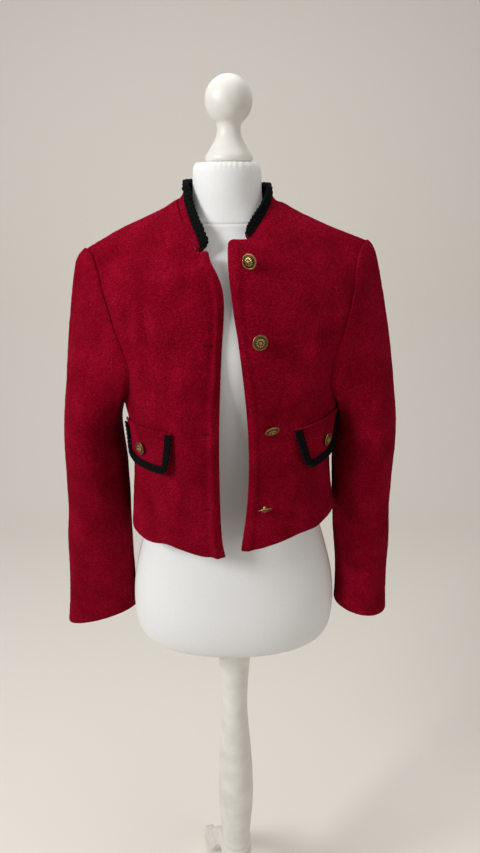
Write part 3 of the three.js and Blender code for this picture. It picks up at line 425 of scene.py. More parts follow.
def tube(name, grid, finish):
    """A closed piece from rings of points, with flat ends."""
    rings, sides = grid.shape[:2]
    index = np.arange(rings * sides).reshape(rings, sides)
    faces = [*quads(index, True), index[0][::-1], index[-1]]
    return new_object(name, grid, faces, finish)


# Rows close to a rim, and how far they are drawn in there, in parts of half the wall: an open
# edge is round, and a sewn one is square so that the seam closes.
RIM_AT = np.array([0, 0.35, 0.9, 1.5])
OPEN_SINK = 1 - np.sqrt(1 - (1 - RIM_AT / RIM_AT[-1]) ** 2)
SEWN_SINK = {"outer": np.array([0.3, 0.1, 0.03, 0]), "inner": np.array([1.7, 0.3, 0.05, 0])}
# The part of the relief that the hidden face of a wall follows.
INNER_RELIEF = 0.6


def places(length, spacing):
    """Parts of a length from 0 to 1, set close together near rounded ends."""
    count = max(int(length / spacing), 2)
    inner = np.linspace(RIM_AT[-1] / length, 1 - RIM_AT[-1] / length, count)
    near = RIM_AT[:-1] / length
    return np.concatenate([near, inner, 1 - near[::-1]])


def rim_sink(rows, columns, wall, joined, sewn, face):
    """How far a face of a wall is drawn in near its rims. 'sewn' tells for the first and last
    row and the first and last column how much of each is sewn, from 0 to 1. A sewn rim lies
    close under the outer face, so that the seam is a fine line."""
    sink = np.zeros((rows, columns))
    for k in range(len(RIM_AT) - 1):
        first, last, left, right = (
            wall / 2 * mix(OPEN_SINK[k], SEWN_SINK[face][k], part) for part in sewn
        )
        sink[k, :] = np.maximum(sink[k, :], first)
        sink[rows - 1 - k, :] = np.maximum(sink[rows - 1 - k, :], last)
        if not joined:
            sink[:, k] = np.maximum(sink[:, k], left)
            sink[:, columns - 1 - k] = np.maximum(sink[:, columns - 1 - k], right)
    return sink


def shell(name, surface, normal, wall, relief, finish, joined=False, sewn=(0, 0, 0, 0)):
    """A closed wall under a grid of outer points, whose two faces meet at its rims."""
    rows, columns = surface.shape[:2]
    outer_sink, inner_sink = (
        rim_sink(rows, columns, wall, joined, sewn, face) for face in ("outer", "inner")
    )
    outer = surface + normal * (relief - outer_sink)[..., None]
    inner = surface + normal * (relief * INNER_RELIEF - wall + inner_sink)[..., None]
    return closed_wall(name, outer, inner, finish, joined)


# ---------------------------------------------------------------- panels

def fill(u, v, bottom, top, left, right):
    """Turn and lap of places between four border lines."""
    zero, one = np.zeros(1), np.ones(1)
    ends = [line(at) for line in (bottom, top) for at in (zero, one)]
    corners = [[end[k][0] for end in ends] for k in (0, 1)]
    b, t, l, r = bottom(u), top(u), left(v), right(v)
    result = []
    for k in (0, 1):
        flat = mix(mix(corners[k][0], corners[k][1], u), mix(corners[k][2], corners[k][3], u), v)
        result.append(mix(b[k], t[k], v) + mix(l[k], r[k], u) - flat)
    return result


def side_line(side, armhole, hem_height, v):
    """Turn and lap up a panel's side seam and then round its armhole."""
    row = v * LAST_ROW
    hem_lap = lap_at_height(side, QUARTER, hem_height)
    seam = mix(hem_lap, lap_of(armhole["drop"][-1]), np.minimum(row / HEM_ROWS, 1))
    part = np.clip(1 - (row - HEM_ROWS) / ARMHOLE_ROWS, 0, 1)
    turn = read(armhole, "part", part, "turn") * DEGREE
    lap = lap_of(read(armhole, "part", part, "drop"))
    on_seam = row < HEM_ROWS
    return np.where(on_seam, QUARTER, turn), np.where(on_seam, seam, lap)


def neck_place(side, part):
    out, height = (read(NECK[side], "part", part, name) for name in ("out", "height"))
    turn, lap = on_body(side, out, height)
    return turn, np.where(part >= 1, 0, lap)


# Rows of the border that the round corner at the top of a front edge takes, below and above it.
TOP_CORNER = {RIGHT: (0.1, 0.3), LEFT: (0.2, 0.5)}


def front_places(side, u, v):
    """Turn and lap of places on a front: u from its open edge to the side, v up from the hem."""
    edge = EDGE[side]

    def border(row):
        height = mix(edge["height"][0], edge["height"][-1], np.minimum(row / EDGE_ROWS, 1))
        on_edge = on_body(side, read(edge, "height", height, "out"), height)
        on_neck = neck_place(side, np.clip((row - EDGE_ROWS) / NECK_ROWS, 0, 1))
        return [np.where(row < EDGE_ROWS, e, n) for e, n in zip(on_edge, on_neck)]

    def left(v):
        row = v * LAST_ROW
        below, above = TOP_CORNER[side]
        t = np.clip((row - EDGE_ROWS + below) / (below + above), 0, 1)
        ends = [border(np.array([EDGE_ROWS + at])) for at in (-below, 0, above)]
        curve = [mix(mix(a, b, t), mix(b, c, t), t) for a, b, c in zip(*ends)]
        near = (t > 0) & (t < 1)
        return [np.where(near, c, p) for c, p in zip(curve, border(row))]

    hem_turn = left(np.zeros(1))[0][0]
    neck_turn = left(np.ones(1))[0][0]

    def bottom(u):
        turn = mix(hem_turn, QUARTER, u)
        return turn, lap_at_height(side, turn, read(HEM[side], "turn", turn / DEGREE, "height"))

    def top(u):
        return mix(neck_turn, QUARTER, u), np.zeros_like(u)

    def right(v):
        return side_line(side, ARMHOLE_FRONT, HEM[side]["height"][-1], v)

    return fill(u, v, bottom, top, left, right)


def back_neck_place(t):
    turns = [side * neck_place(side, np.ones(1))[0][0] for side in (RIGHT, LEFT)]
    return mix(turns[0], turns[1], t), lap_of(NECK_DROP_BACK) * (1 - np.abs(2 * t - 1) ** 2.2)


def back_places(u, v):
    """As on a front, but the turn is counted from the middle of the back, from right to left."""
    neck_turn = {side: side * neck_place(side, np.ones(1))[0][0] for side in (RIGHT, LEFT)}

    def bottom(u):
        turn = mix(-QUARTER, QUARTER, u)
        height = read(HEM_BACK, "turn", turn / DEGREE, "height")
        laps = [lap_at_height(side, turn, height) for side in (RIGHT, LEFT)]
        return turn, np.where(turn < 0, *laps)

    def top(u):
        column = u * BACK_COLUMNS
        first = mix(-QUARTER, neck_turn[RIGHT], column / SHOULDER_COLUMNS)
        last = mix(QUARTER, neck_turn[LEFT], (BACK_COLUMNS - column) / SHOULDER_COLUMNS)
        neck = back_neck_place(np.clip((column - SHOULDER_COLUMNS) / NECK_BACK_COLUMNS, 0, 1))
        before = column < SHOULDER_COLUMNS
        after = column > BACK_COLUMNS - SHOULDER_COLUMNS
        turn = np.where(before, first, np.where(after, last, neck[0]))
        return turn, np.where(before | after, 0, neck[1])

    def left(v):
        turn, lap = side_line(RIGHT, ARMHOLE_BACK, HEM_BACK["height"][0], v)
        return -turn, lap

    def right(v):
        return side_line(LEFT, ARMHOLE_BACK, HEM_BACK["height"][-1], v)

    return fill(u, v, bottom, top, left, right)


def resolve(side, turn, lap):
    """Outer points and normals of places on a front or, with side 0, on the back."""
    if side:
        return body_point(side, turn, lap), body_normal(side, turn, lap)
    about = math.pi - np.abs(turn)
    own = (turn < 0)[..., None]
    return tuple(
        np.where(own, of(RIGHT, about, lap), of(LEFT, about, lap)) for of in (body_point, body_normal)
    )


def round_corner(u, v, width, height, radius):
    """Moves places near a panel's first corner so that it becomes round."""
    p, q = np.maximum(radius - u * width, 0), np.maximum(radius - v * height, 0)
    pull = np.maximum(p, q) / np.maximum(np.hypot(p, q), 1e-9)
    pull = np.where((p > 0) & (q > 0), pull, 1)
    return u + p * (1 - pull) / width, v + q * (1 - pull) / height


# Creases: from and to (turn in degrees, height), width, and depth, which is negative where
# the cloth goes in. Key 0 is the back.
CREASE_NAMES = "turn0 height0 turn1 height1 width depth"
CREASES = {
    RIGHT: table(CREASE_NAMES, [
        [9, 1350, 22, 1318, 11, -3.2], [37, 1335, 40, 1262, 7, 2.4], [32, 1325, 35, 1250, 7, -2.3],
        [45, 1320, 47, 1240, 7, -2.6], [17, 1290, 30, 1180, 11, -2.2],
        [62, 1120, 42, 1020, 10, -3.0], [50, 1225, 34, 1290, 11, -2.2],
        [30, 1000, 38, 1085, 10, 2.2], [74, 1050, 86, 1160, 9, -2.6], [11, 1080, 15, 1210, 9, -1.6],
        [22, 1240, 25, 1130, 13, 1.8], [52, 1200, 60, 1130, 11, 2.0],
    ]),
    LEFT: table(CREASE_NAMES, [
        [40, 1215, 20, 1110, 11, -2.2], [52, 1250, 30, 1330, 12, -2.3],
        [58, 1090, 38, 1010, 10, -3.0], [22, 1005, 32, 1085, 10, 2.2],
        [74, 1040, 84, 1150, 9, -2.6], [14, 1300, 20, 1220, 10, -1.6],
        [44, 1330, 50, 1250, 9, -2.2], [34, 1300, 40, 1230, 10, 1.9], [46, 1140, 55, 1050, 11, 2.0],
    ]),
    0: table(CREASE_NAMES, [
        [-62, 1240, -34, 1170, 10, -2.0], [60, 1225, 34, 1158, 10, -1.9],
        [-50, 1120, -18, 1094, 10, -2.2], [48, 1110, 14, 1084, 11, -2.0],
        [-12, 1068, 28, 1060, 10, -1.5], [-30, 1005, -24, 1085, 10, 1.8],
        [34, 1010, 28, 1090, 10, 1.7], [-72, 1040, -58, 1140, 9, -1.7],
        [72, 1040, 60, 1130, 9, -1.7], [-4, 1408, 3, 1320, 11, -1.4],
        [-46, 1370, -30, 1295, 11, -1.5], [48, 1360, 30, 1280, 12, -1.4],
        [-20, 1200, -16, 1110, 11, 1.3], [20, 1205, 17, 1100, 11, 1.3],
    ]),
}
MM_PER_DEGREE = 2.6


def crease_relief(creases, degrees, height, scale=MM_PER_DEGREE):
    """Relief of creases whose ends fade out; scale is the arc length of a degree there."""
    relief = 0
    for i in range(len(creases["width"])):
        x0, x1 = creases["turn0"][i] * scale, creases["turn1"][i] * scale
        z0, z1 = creases["height0"][i], creases["height1"][i]
        x, z = degrees * scale - x0, height - z0
        dx, dz = x1 - x0, z1 - z0
        t = np.clip((x * dx + z * dz) / (dx * dx + dz * dz), -0.1, 1.1)
        away = np.hypot(x - t * dx, z - t * dz) / creases["width"][i]
        fade = smooth((t + 0.1) / 0.4) * smooth((1.1 - t) / 0.5)
        relief = relief + creases["depth"][i] * np.exp(-away * away) * fade
    return relief


# The panels' rough sizes, the length of their quads, and the sizes of their edges' relief.
# HEM_WAVE is the degrees of turn for each radian of a hem's waves.
FRONT_SIZE, BACK_SIZE, PANEL_SPACING = (215, 420), (420, 430), 2.7
HEM_CORNER = {RIGHT: 1.6, LEFT: 2.5}
EDGE_ROLL = {RIGHT: 3.2, LEFT: 1.5}
NECK_RISE = 0.5
HEM_WAVE = {RIGHT: 5.2, LEFT: 8.5, 0: 7}


def hem_relief(turn, from_hem, period, depth):
    """Soft waves along a turned-up hem, and the ridge of its fold."""
    wave = np.sin(turn / DEGREE / period) * bell(from_hem, 0, 34)
    return depth * wave + 0.6 * bell(from_hem, 7, 4)


def turned_edge(side, from_edge):
    """Relief of a faced front edge: a thin rim and a soft roll inside it."""
    roll = bell(from_edge, 7.5, 3.2) - 0.7 * bell(from_edge, 1.5, 2.6)
    return EDGE_ROLL[side] * (roll - 0.45 * bell(from_edge, 14, 3.6))


def open_corner(from_edge, height):
    """The top of the wearer's right front edge, which turns outwards along a soft line."""
    line = 16 * smooth((height - 1318) / 58)
    fold = bell(from_edge, line, 2.6) - 0.5 * bell(from_edge, line + 5, 4)
    return 3.4 * smooth((line - from_edge) / 13) + 1.8 * fold * smooth(line / 4)


def front(side):
    width, height = FRONT_SIZE
    u, v = np.meshgrid(places(width, PANEL_SPACING), places(height, PANEL_SPACING))
    row = v[:, 0] * LAST_ROW
    u, v = round_corner(u, v, width, height, HEM_CORNER[side])
    turn, lap = front_places(side, u, v)
    surface, normal = resolve(side, turn, lap)
    surface[..., 1] -= SEAM_GAP / 2
    from_edge = u * width
    up = v * LAST_ROW
    relief = boucle(surface) + crease_relief(CREASES[side], turn / DEGREE, surface[..., 2])
    relief = relief + turned_edge(side, from_edge) * smooth((EDGE_ROWS + 0.3 - up) / 0.6)
    if side == RIGHT:
        relief = relief + open_corner(from_edge, surface[..., 2]) * smooth((EDGE_ROWS + 1 - up) / 1.2)
    at_neck = smooth((up - EDGE_ROWS - COLLAR_START[side]) / 1.5)
    relief = relief + NECK_RISE * bell(from_edge, 0, 10) * at_neck
    relief = relief + hem_relief(turn, v * height, HEM_WAVE[side], 1.3)
    at_collar = smooth((row - EDGE_ROWS - COLLAR_START[side] + 0.3) * 4)
    sewn = (0, 1, at_collar, 1)
    return shell(f"cloth_front_{WORD[side]}", surface, normal, WOOL, relief, wool, sewn=sewn)


def back():
    width, height = BACK_SIZE
    u, v = np.meshgrid(places(width, PANEL_SPACING), places(height, PANEL_SPACING))
    turn, lap = back_places(u, v)
    surface, normal = resolve(0, turn, lap)
    surface[..., 1] += SEAM_GAP / 2
    relief = boucle(surface) + crease_relief(CREASES[0], turn / DEGREE, surface[..., 2])
    column = u * BACK_COLUMNS
    near_neck = smooth((column - SHOULDER_COLUMNS + 1) / 1.5)
    near_neck = near_neck * smooth((BACK_COLUMNS - SHOULDER_COLUMNS + 1 - column) / 1.5)
    relief = relief + NECK_RISE * bell((1 - v) * height, 0, 10) * near_neck
    relief = relief + hem_relief(turn, v * height, HEM_WAVE[0], 1.2)
    return shell("cloth_back", surface, normal, WOOL, relief, wool, sewn=(0, 1, 1, 1))


# ---------------------------------------------------------------- pieces sewn to an edge

def edge_of(points, normals, towards):
    """Directions in the cloth that lead off a panel along one of its edges."""
    along = unit(np.gradient(points, axis=0))
    off = unit(np.cross(along, normals))
    return off * np.where(np.sum(off * towards, -1) < 0, -1, 1)[:, None]


def start_at(points, normals, off, wanted, thick):
    """Outer first points of a wall that leaves an edge, its direction, and the way across it."""
    rise = np.sum(wanted * normals, -1)
    run = np.maximum(np.sum(wanted * off, -1), 0.02)
    length = np.hypot(rise, run)
    sink = WOOL * np.maximum(rise, 0) / length
    ahead = thick * np.maximum(-rise, 0) / length
    rise, run = (rise / length)[:, None], (run / length)[:, None]
    direction = normals * rise + off * run
    across = off * rise - normals * run
    outer = points + off * (SEWN_GAP + ahead)[:, None] - normals * sink[:, None]
    return outer, direction, across


def soften(rows, times, joined):
    """Evens out vectors along a line by averaging each with its neighbours."""
    for _ in range(times):
        before, after = np.roll(rows, 1, axis=0), np.roll(rows, -1, axis=0)
        if not joined:
            before[0], after[-1] = rows[0], rows[-1]
        rows = rows / 2 + (before + after) / 4
    return unit(rows)


def hermite(a, va, b, vb, t):
    """A curve that leaves a in direction va and comes to b in direction vb."""
    return mix(a, b, smooth(t)) + va * t * (1 - t) ** 2 - vb * t * t * (1 - t)


def tube_normals(grid):
    """Normals of a tube's points, towards the side where its columns turn anticlockwise."""
    around = np.roll(grid, -1, axis=1) - np.roll(grid, 1, axis=1)
    return unit(np.cross(np.gradient(grid, axis=0), around))


def even_rows(grid, rows):
    """The grid with each column cut into rows of even length, with close rows at both ends."""
    run = np.linalg.norm(np.diff(grid, axis=0), axis=2)
    length = np.concatenate([np.zeros((1, grid.shape[1])), np.cumsum(run, axis=0)])
    parts = places(np.mean(length[-1]), np.mean(length[-1]) / rows)
    result = np.empty((len(parts), grid.shape[1], 3))
    for j in range(grid.shape[1]):
        for k in range(3):
            result[:, j, k] = np.interp(parts * length[-1, j], length[:, j], grid[:, j, k])
    return result, parts * np.mean(length[-1])


# ---------------------------------------------------------------- sleeves

ARMHOLE_STEPS, SLEEVE_ROWS, SLEEVE_SOFTENED = 5, 196, 14
SLEEVE_CREASES = {
    RIGHT: table(CREASE_NAMES, [
        [60, 1290, 110, 1215, 11, -1.5], [70, 1200, 130, 1150, 11, -1.4],
        [50, 1130, 105, 1085, 12, -1.3], [60, 1065, 140, 1045, 11, -1.6],
        [75, 1010, 150, 1000, 11, 1.1], [48, 985, 110, 960, 11, -1.3],
        [70, 925, 120, 880, 10, -1.2], [60, 868, 95, 836, 10, -0.9],
        [240, 1280, 300, 1210, 12, -1.4], [230, 1130, 300, 1090, 12, -1.4],
        [220, 1055, 300, 1040, 11, -1.6], [230, 1000, 290, 985, 11, 1.0],
        [240, 940, 300, 900, 11, -1.2], [20, 1250, 26, 1130, 12, -0.8],
    ]),
    LEFT: table(CREASE_NAMES, [
        [55, 1300, 105, 1220, 11, -1.5], [65, 1215, 125, 1160, 11, -1.4],
        [55, 1120, 115, 1080, 12, -1.4], [60, 1052, 135, 1040, 11, -1.6],
        [70, 1005, 150, 992, 11, 1.1], [50, 960, 110, 935, 11, -1.2], [66, 905, 125, 872, 10, -1.2],
        [240, 1270, 300, 1200, 12, -1.4], [235, 1120, 300, 1080, 12, -1.4],
        [225, 1050, 300, 1036, 11, -1.6], [232, 990, 295, 975, 11, 1.0],
        [240, 925, 300, 890, 11, -1.2], [24, 1240, 20, 1120, 12, -0.8],
    ]),
}
SLEEVE_MM_PER_DEGREE = 0.9
# How far the side next to the body is filled out below the armhole.
UNDERARM_FULL = {RIGHT: 4.0, LEFT: 0.5}


def armhole_loop(side):
    """Points, normals and off directions from the shoulder point down the front and up the back."""
    count = ARMHOLE_ROWS * ARMHOLE_STEPS
    v = 1 - np.arange(count + 1) / count * ARMHOLE_ROWS / LAST_ROW
    towards = np.array([side, 0, 0.35])
    turn, lap = side_line(side, ARMHOLE_FRONT, HEM[side]["height"][-1], v)
    front_points, front_normals = resolve(side, turn, lap)
    front_points[..., 1] -= SEAM_GAP / 2
    hem = HEM_BACK["height"][0 if side < 0 else -1]
    turn, lap = side_line(side, ARMHOLE_BACK, hem, v)
    back_points, back_normals = resolve(0, side * turn, lap)
    back_points[..., 1] += SEAM_GAP / 2
    front_off = edge_of(front_points, front_normals, towards)
    back_off = edge_of(back_points, back_normals, towards)
    bottom = np.array([[0, 0, 1.0]])
    loop = []
    fronts, backs = (front_points, front_normals, front_off), (back_points, back_normals, back_off)
    for down, up in zip(fronts, backs):
        top_one = (down[:1] + up[:1]) / 2
        low_one = bottom if down is front_off else (down[-1:] + up[-1:]) / 2
        loop.append(np.concatenate([top_one, down[1:-1], low_one, up[-2:0:-1]]))
    return loop[0], soften(loop[1], 4, True), soften(loop[2], 8, True)


def sleeve_section(side, t, angle):
    """A ring of points round the sleeve, some part of the way down its straight length."""
    rows = SLEEVE[side] | {"part": np.linspace(0, 1, len(SLEEVE[side]["height"]))}
    at = {name: read(rows, "part", t, name) for name in SLEEVE_NAMES.split()}
    ahead, deep = np.cos(angle), np.sin(angle)
    height = at["height"] - at["slope"] * at["half_wide"] * ahead
    bend = 0
    for z, way, depth in zip(*SLEEVE_BENDS.values()):
        bend = bend + depth * bell(height, z, 22) * (0.5 + way * deep / 2)
    x = side * (at["out"] + (at["half_wide"] - bend * 0.4) * ahead)
    y = at["back"] - (at["half_deep"] - bend) * deep
    return np.stack([x, y, height], -1)


def sleeve(side):
    points, normals, off = armhole_loop(side)
    columns = len(points)
    angle = 2 * math.pi * np.arange(columns) / columns
    low = smooth(1.6 * (0.98 - np.abs(angle - math.pi) / math.pi) - 0.55)[:, None]
    wanted = unit(off * (1 - low) + normals * low
                  + np.array([side * 0.25, 0, 0]) + np.array([0, 0, 0.12]) * (1 - low))
    outer, direction, _ = start_at(points, normals, off, wanted, WOOL)
    roll = outer + direction * mix(CAP_ROLL_TOP[side], CAP_ROLL_LOW, low)
    end = sleeve_section(side, 0, angle)
    ahead = unit(sleeve_section(side, SMALL, angle) - end)
    length = np.linalg.norm(end - roll, axis=1)[:, None]
    pull = unit(direction * CAP_AHEAD - np.array([0, 0, CAP_DOWN])) * CAP_PULL * length
    rows = [mix(outer, roll, t) for t in np.linspace(0, 1, 6)]
    rows += [hermite(roll, pull, end, ahead * length, t) for t in np.linspace(0, 1, 61)[1:]]
    rows += [sleeve_section(side, t, angle) for t in np.linspace(0, 1, 81)[1:]]
    grid, down = even_rows(np.array(rows), SLEEVE_ROWS)
    for _ in range(SLEEVE_SOFTENED):
        grid[1:-1] = grid[1:-1] / 2 + (grid[:-2] + grid[2:]) / 4
    normal = tube_normals(grid) * side
    turn = np.broadcast_to(angle / DEGREE, grid.shape[:2])
    height = grid[..., 2]
    relief = boucle(grid) + crease_relief(SLEEVE_CREASES[side], turn, height, SLEEVE_MM_PER_DEGREE)
    inside = np.maximum(-np.cos(angle), 0) ** 2
    ease = np.maximum(np.cos(angle), 0) ** 0.5 * np.cos(angle * 34)
    relief = relief + UNDERARM_FULL[side] * inside * bell(height, 1120, 55)
    relief = relief + 0.35 * ease * bell(down, 9, 8)[:, None]
    relief = relief + 0.8 * bell(down[-1] - down, 30, 3)[:, None]
    return shell(f"cloth_sleeve_{WORD[side]}", grid, normal, WOOL, relief, wool, True, (1, 0, 0, 0))


# ---------------------------------------------------------------- collar and its braid

COLLAR_PER_COLUMN = 15
COLLAR_TALL, COLLAR_SPACING = 34, 1.3
KNOT_ALONG, KNOT_ACROSS = 6.4, 4.4


def neckline():
    """Neckline from the wearer's right front end round the back to the left front end."""
    sets = []
    for side in (RIGHT, LEFT):
        count = (NECK_ROWS - COLLAR_START[side]) * COLLAR_PER_COLUMN
        row = EDGE_ROWS + COLLAR_START[side] + np.arange(count + 1) / COLLAR_PER_COLUMN
        points, normals = resolve(side, *neck_place(side, (row - EDGE_ROWS) / NECK_ROWS))
        points[..., 1] -= SEAM_GAP / 2
        sets.append((points, normals))
    t = np.linspace(0, 1, NECK_BACK_COLUMNS * COLLAR_PER_COLUMN + 1)
    points, normals = resolve(0, *back_neck_place(t))
    points[..., 1] += SEAM_GAP / 2
    lines = []
    for points, normals in (sets[0], (points, normals), [part[::-1] for part in sets[1]]):
        towards = points * np.array([-1, -1, 0]) + np.array([0, 0, 30.0])
        lines.append((points, normals, edge_of(points, normals, towards)))
    return [np.concatenate([right[:-1], middle, left[1:]]) for right, middle, left in zip(*lines)]


def collar_columns():
    points, normals, off = neckline()
    part = np.linspace(0, 1, len(points))
    base = points * np.array([1, 1, 0]) - np.array([NECK_ASIDE, 0, 0])
    lean = -base
    lean[:, 1] += np.minimum(base[:, 1] * COLLAR_AIM, 0)
    lean = unit(lean)
    ahead = -(base * lean).sum(axis=1)
    beside = (base * base).sum(axis=1) - ahead ** 2
    reach = np.sqrt(np.maximum(COLLAR_STAND ** 2 - beside, 0))
    room = np.where(beside < COLLAR_STAND ** 2, ahead - reach, np.inf)
    rise = read(COLLAR_LINE, "part", part, "rise")
    inward = np.minimum(read(COLLAR_LINE, "part", part, "inward"), room)
    wanted = np.array([0, 0, 1.0]) * rise[:, None] + lean * inward[:, None]
    height = np.hypot(rise, inward)
    hollow = COLLAR_HOLLOW * np.maximum(inward, 0) / height
    outer, direction, across = start_at(points, normals, off, unit(wanted), COLLAR_WALL)
    return outer, soften(direction, 12, False), soften(across, 12, False), height, hollow


def collar_points(columns, up, inward):
    """Points 'up' the collar's outer face and 'inward' of it, for every column."""
    outer, direction, across, height, hollow = columns
    inward = inward + hollow * up * (height - up)
    return outer + direction * up[..., None] + across * inward[..., None]


def collar(columns):
    _, _, across, height, _ = columns
    up = places(COLLAR_TALL, COLLAR_SPACING)[:, None] * height
    surface = collar_points(columns, up, np.zeros_like(up))
    normal = -np.broadcast_to(across, surface.shape)
    relief = boucle(surface) * 0.8 + NECK_RISE * bell(up, 0, 9)
    return shell("cloth_collar", surface, normal, COLLAR_WALL, relief, wool, sewn=(1, 0, 0, 0))


def knots(along, across):
    """Relief of a crocheted braid: staggered rows of knots."""
    row = np.floor(across / KNOT_ACROSS)
    dx = (along / KNOT_ALONG + 0.5 * (row % 2)) % 1 - 0.5
    dy = (across / KNOT_ACROSS) % 1 - 0.5
    return 3.0 * np.sqrt(np.maximum(1 - 3.7 * dx * dx - 3.0 * dy * dy, 0.01)) - 1.9


def braid_section(columns, grow):
    """Rings of the collar's braid: up the outside, over the edge and down the inside."""
    height = columns[3]
    low = np.maximum(height - BRAID_REACH, BRAID_CLEAR)
    top = height - 1
    sides = [(mix(low, top, t), grow * np.sin(math.pi * mix(0.12, 0.5, t)) ** 0.5)
             for t in np.linspace(0, 1, 12)[:-1]]
    rows = [(up, -away) for up, away in sides]
    for angle in np.linspace(0, math.pi, 15):
        rise = top + (grow + 1) * math.sin(angle) ** 0.8
        rows.append((rise, COLLAR_WALL / 2 - (COLLAR_WALL / 2 + grow) * math.cos(angle)))
    rows += [(up, COLLAR_WALL + away) for up, away in sides[::-1]]
    return np.array([collar_points(columns, up, np.full_like(up, inward)) for up, inward in rows])


def collar_trim(columns):
    surface = braid_section(columns, BRAID_GAP + BRAID_WALL)
    inner = braid_section(columns, BRAID_GAP)
    run = np.concatenate([[0], np.cumsum(np.linalg.norm(np.diff(columns[0], axis=0), axis=1))])
    steps = np.linalg.norm(np.diff(surface, axis=0), axis=2).mean(axis=1)
    around = np.concatenate([[0], np.cumsum(steps)])[:, None]
    relief = knots(run[None, :], around) + 0.7 * noise(surface, 5, 5)
    outer = surface + unit(surface - inner) * relief[..., None]
    return closed_wall("braid_collar", outer, inner, braid)


# ---------------------------------------------------------------- pocket flaps

def flap_point(side, across, down, lift):
    """Points of a flap lifted off the front, and the front's normals there."""
    place = FLAP_PLACE[side]
    height = place["top"] + across * math.tan(place["tilt"] * DEGREE) - down
    slant = place["shear"] * down * (1 - across / FLAP_WIDTH) / FLAP_HEIGHT
    turn = turn_at_arc(side, place["arc"] + across + slant, height)
    lap = lap_at_height(side, turn, height)
    normal = body_normal(side, turn, lap)
    return body_point(side, turn, lap) + normal * np.asarray(lift)[..., None], normal


def flap_lift(across, down):
    """How far a flap stands off the front: most at its lower corner near the open edge."""
    flare = FLAP_FLARE * smooth((down - 4) / FLAP_HEIGHT)
    return FLAP_LIFT + flare * (1 - 0.75 * smooth(across / FLAP_WIDTH))


def flap(side):
    u, down = np.meshgrid(places(FLAP_WIDTH, 1.8), places(FLAP_HEIGHT, 1.5) * FLAP_HEIGHT)
    into = np.clip(down - (FLAP_HEIGHT - FLAP_CORNER), 0, FLAP_CORNER * 0.995)
    inset = FLAP_CORNER - np.sqrt(FLAP_CORNER ** 2 - into ** 2)
    across = mix(inset, FLAP_WIDTH - inset, u)
    surface, normal = flap_point(side, across, down, flap_lift(across, down) + FLAP_WALL)
    seams = 1.5 * bell(down, 2.2, 1.3) + 1.3 * bell(down, 7.6, 1.3)
    seams = seams - 0.6 * bell(down, 4.9, 1.0) - 0.6 * bell(down, 10.2, 1.2)
    sag = -1.2 * bell(across, 68, 16) * smooth((down - 10) / 40)
    relief = 0.8 * boucle(surface) + seams + sag
    sewn = (0.5, 0, 0, 0)
    return shell(f"cloth_flap_{WORD[side]}", surface, normal, FLAP_WALL, relief, wool, sewn=sewn)


def flap_outline(inset, start, end):
    """Across and down of the flap's two sides and bottom, some way in from the edge."""
    radius, low = FLAP_CORNER - inset, FLAP_HEIGHT - FLAP_CORNER
    side_steps, bend_steps, base_steps = FLAP_BRAID_STEPS
    first = np.linspace(0, 1, side_steps, endpoint=False)
    bend = np.linspace(0, QUARTER, bend_steps, endpoint=False)
    base = np.linspace(0, 1, base_steps, endpoint=False)
    last = np.linspace(0, 1, side_steps + 1)
    right = FLAP_WIDTH - FLAP_CORNER
    across = np.concatenate([
        np.full(side_steps, inset), FLAP_CORNER - radius * np.cos(bend),
        mix(FLAP_CORNER, right, base), right + radius * np.sin(bend),
        np.full(side_steps + 1, FLAP_WIDTH - inset),
    ])
    down = np.concatenate([
        mix(start, low, first), low + radius * np.sin(bend), np.full(base_steps, low + radius),
        low + radius * np.cos(bend), mix(low, end, last),
    ])
    return across, down


def flap_trim(side):
    insets = np.linspace(-FLAP_BRAID_OVER, FLAP_BRAID_WIDTH, 13)
    lines = np.array([flap_outline(inset, 1.5, 6) for inset in insets])
    across, down = lines[:, 0], lines[:, 1]
    sidestep = (lines[-1] - lines[0]) / (FLAP_BRAID_WIDTH + FLAP_BRAID_OVER)
    along = np.hypot(*np.diff(lines[len(insets) // 2], axis=1))
    run = np.concatenate([[0], np.cumsum(along)])
    beat = 2 * math.pi * run / KNOT_ALONG
    edge = np.linspace(-1, 1, len(insets))[:, None] ** 3
    bulge = FLAP_BRAID_BULGE * np.where(edge > 0, np.cos(beat) * edge, np.sin(beat) * edge)
    across, down = across + sidestep[0] * bulge, down + sidestep[1] * bulge
    base = flap_lift(across, down) + FLAP_WALL + 2 * BEND_GAP
    crown = 0.8 + 0.35 * np.sin(math.pi * np.linspace(0, 1, len(insets)))[:, None]
    relief = 0.75 * knots(run[None, :], insets[:, None] + FLAP_BRAID_OVER)
    outer, _ = flap_point(side, across, down, base + FLAP_BRAID_WALL * crown + relief)
    inner, _ = flap_point(side, across, down, base)
    return closed_wall(f"braid_flap_{WORD[side]}", outer, inner, braid)


# ---------------------------------------------------------------- buttons and buttonholes

PETALS, BEADS = 12, 36
BUTTON_SIDES, BUTTON_RINGS = 120, 40
BUTTON_BACK = table("height radius", [
    [-BUTTON_SHANK, 0.01], [-BUTTON_SHANK, BUTTON_SHANK_RADIUS], [-1.5, BUTTON_SHANK_RADIUS - 0.3],
    [0, BUTTON_SHANK_RADIUS], [0.1, 5], [0.2, BUTTON_RADIUS - 1.4], [0.5, BUTTON_RADIUS - 0.4],
    [BUTTON_RIM / 2, BUTTON_RADIUS], [BUTTON_RIM * 0.75, BUTTON_RADIUS - 0.1],
])


def frame_of(facing):
    """Rotation that takes +Z to a direction."""
    return np.array(Vector(facing).to_track_quat("Z", "Y").to_matrix())


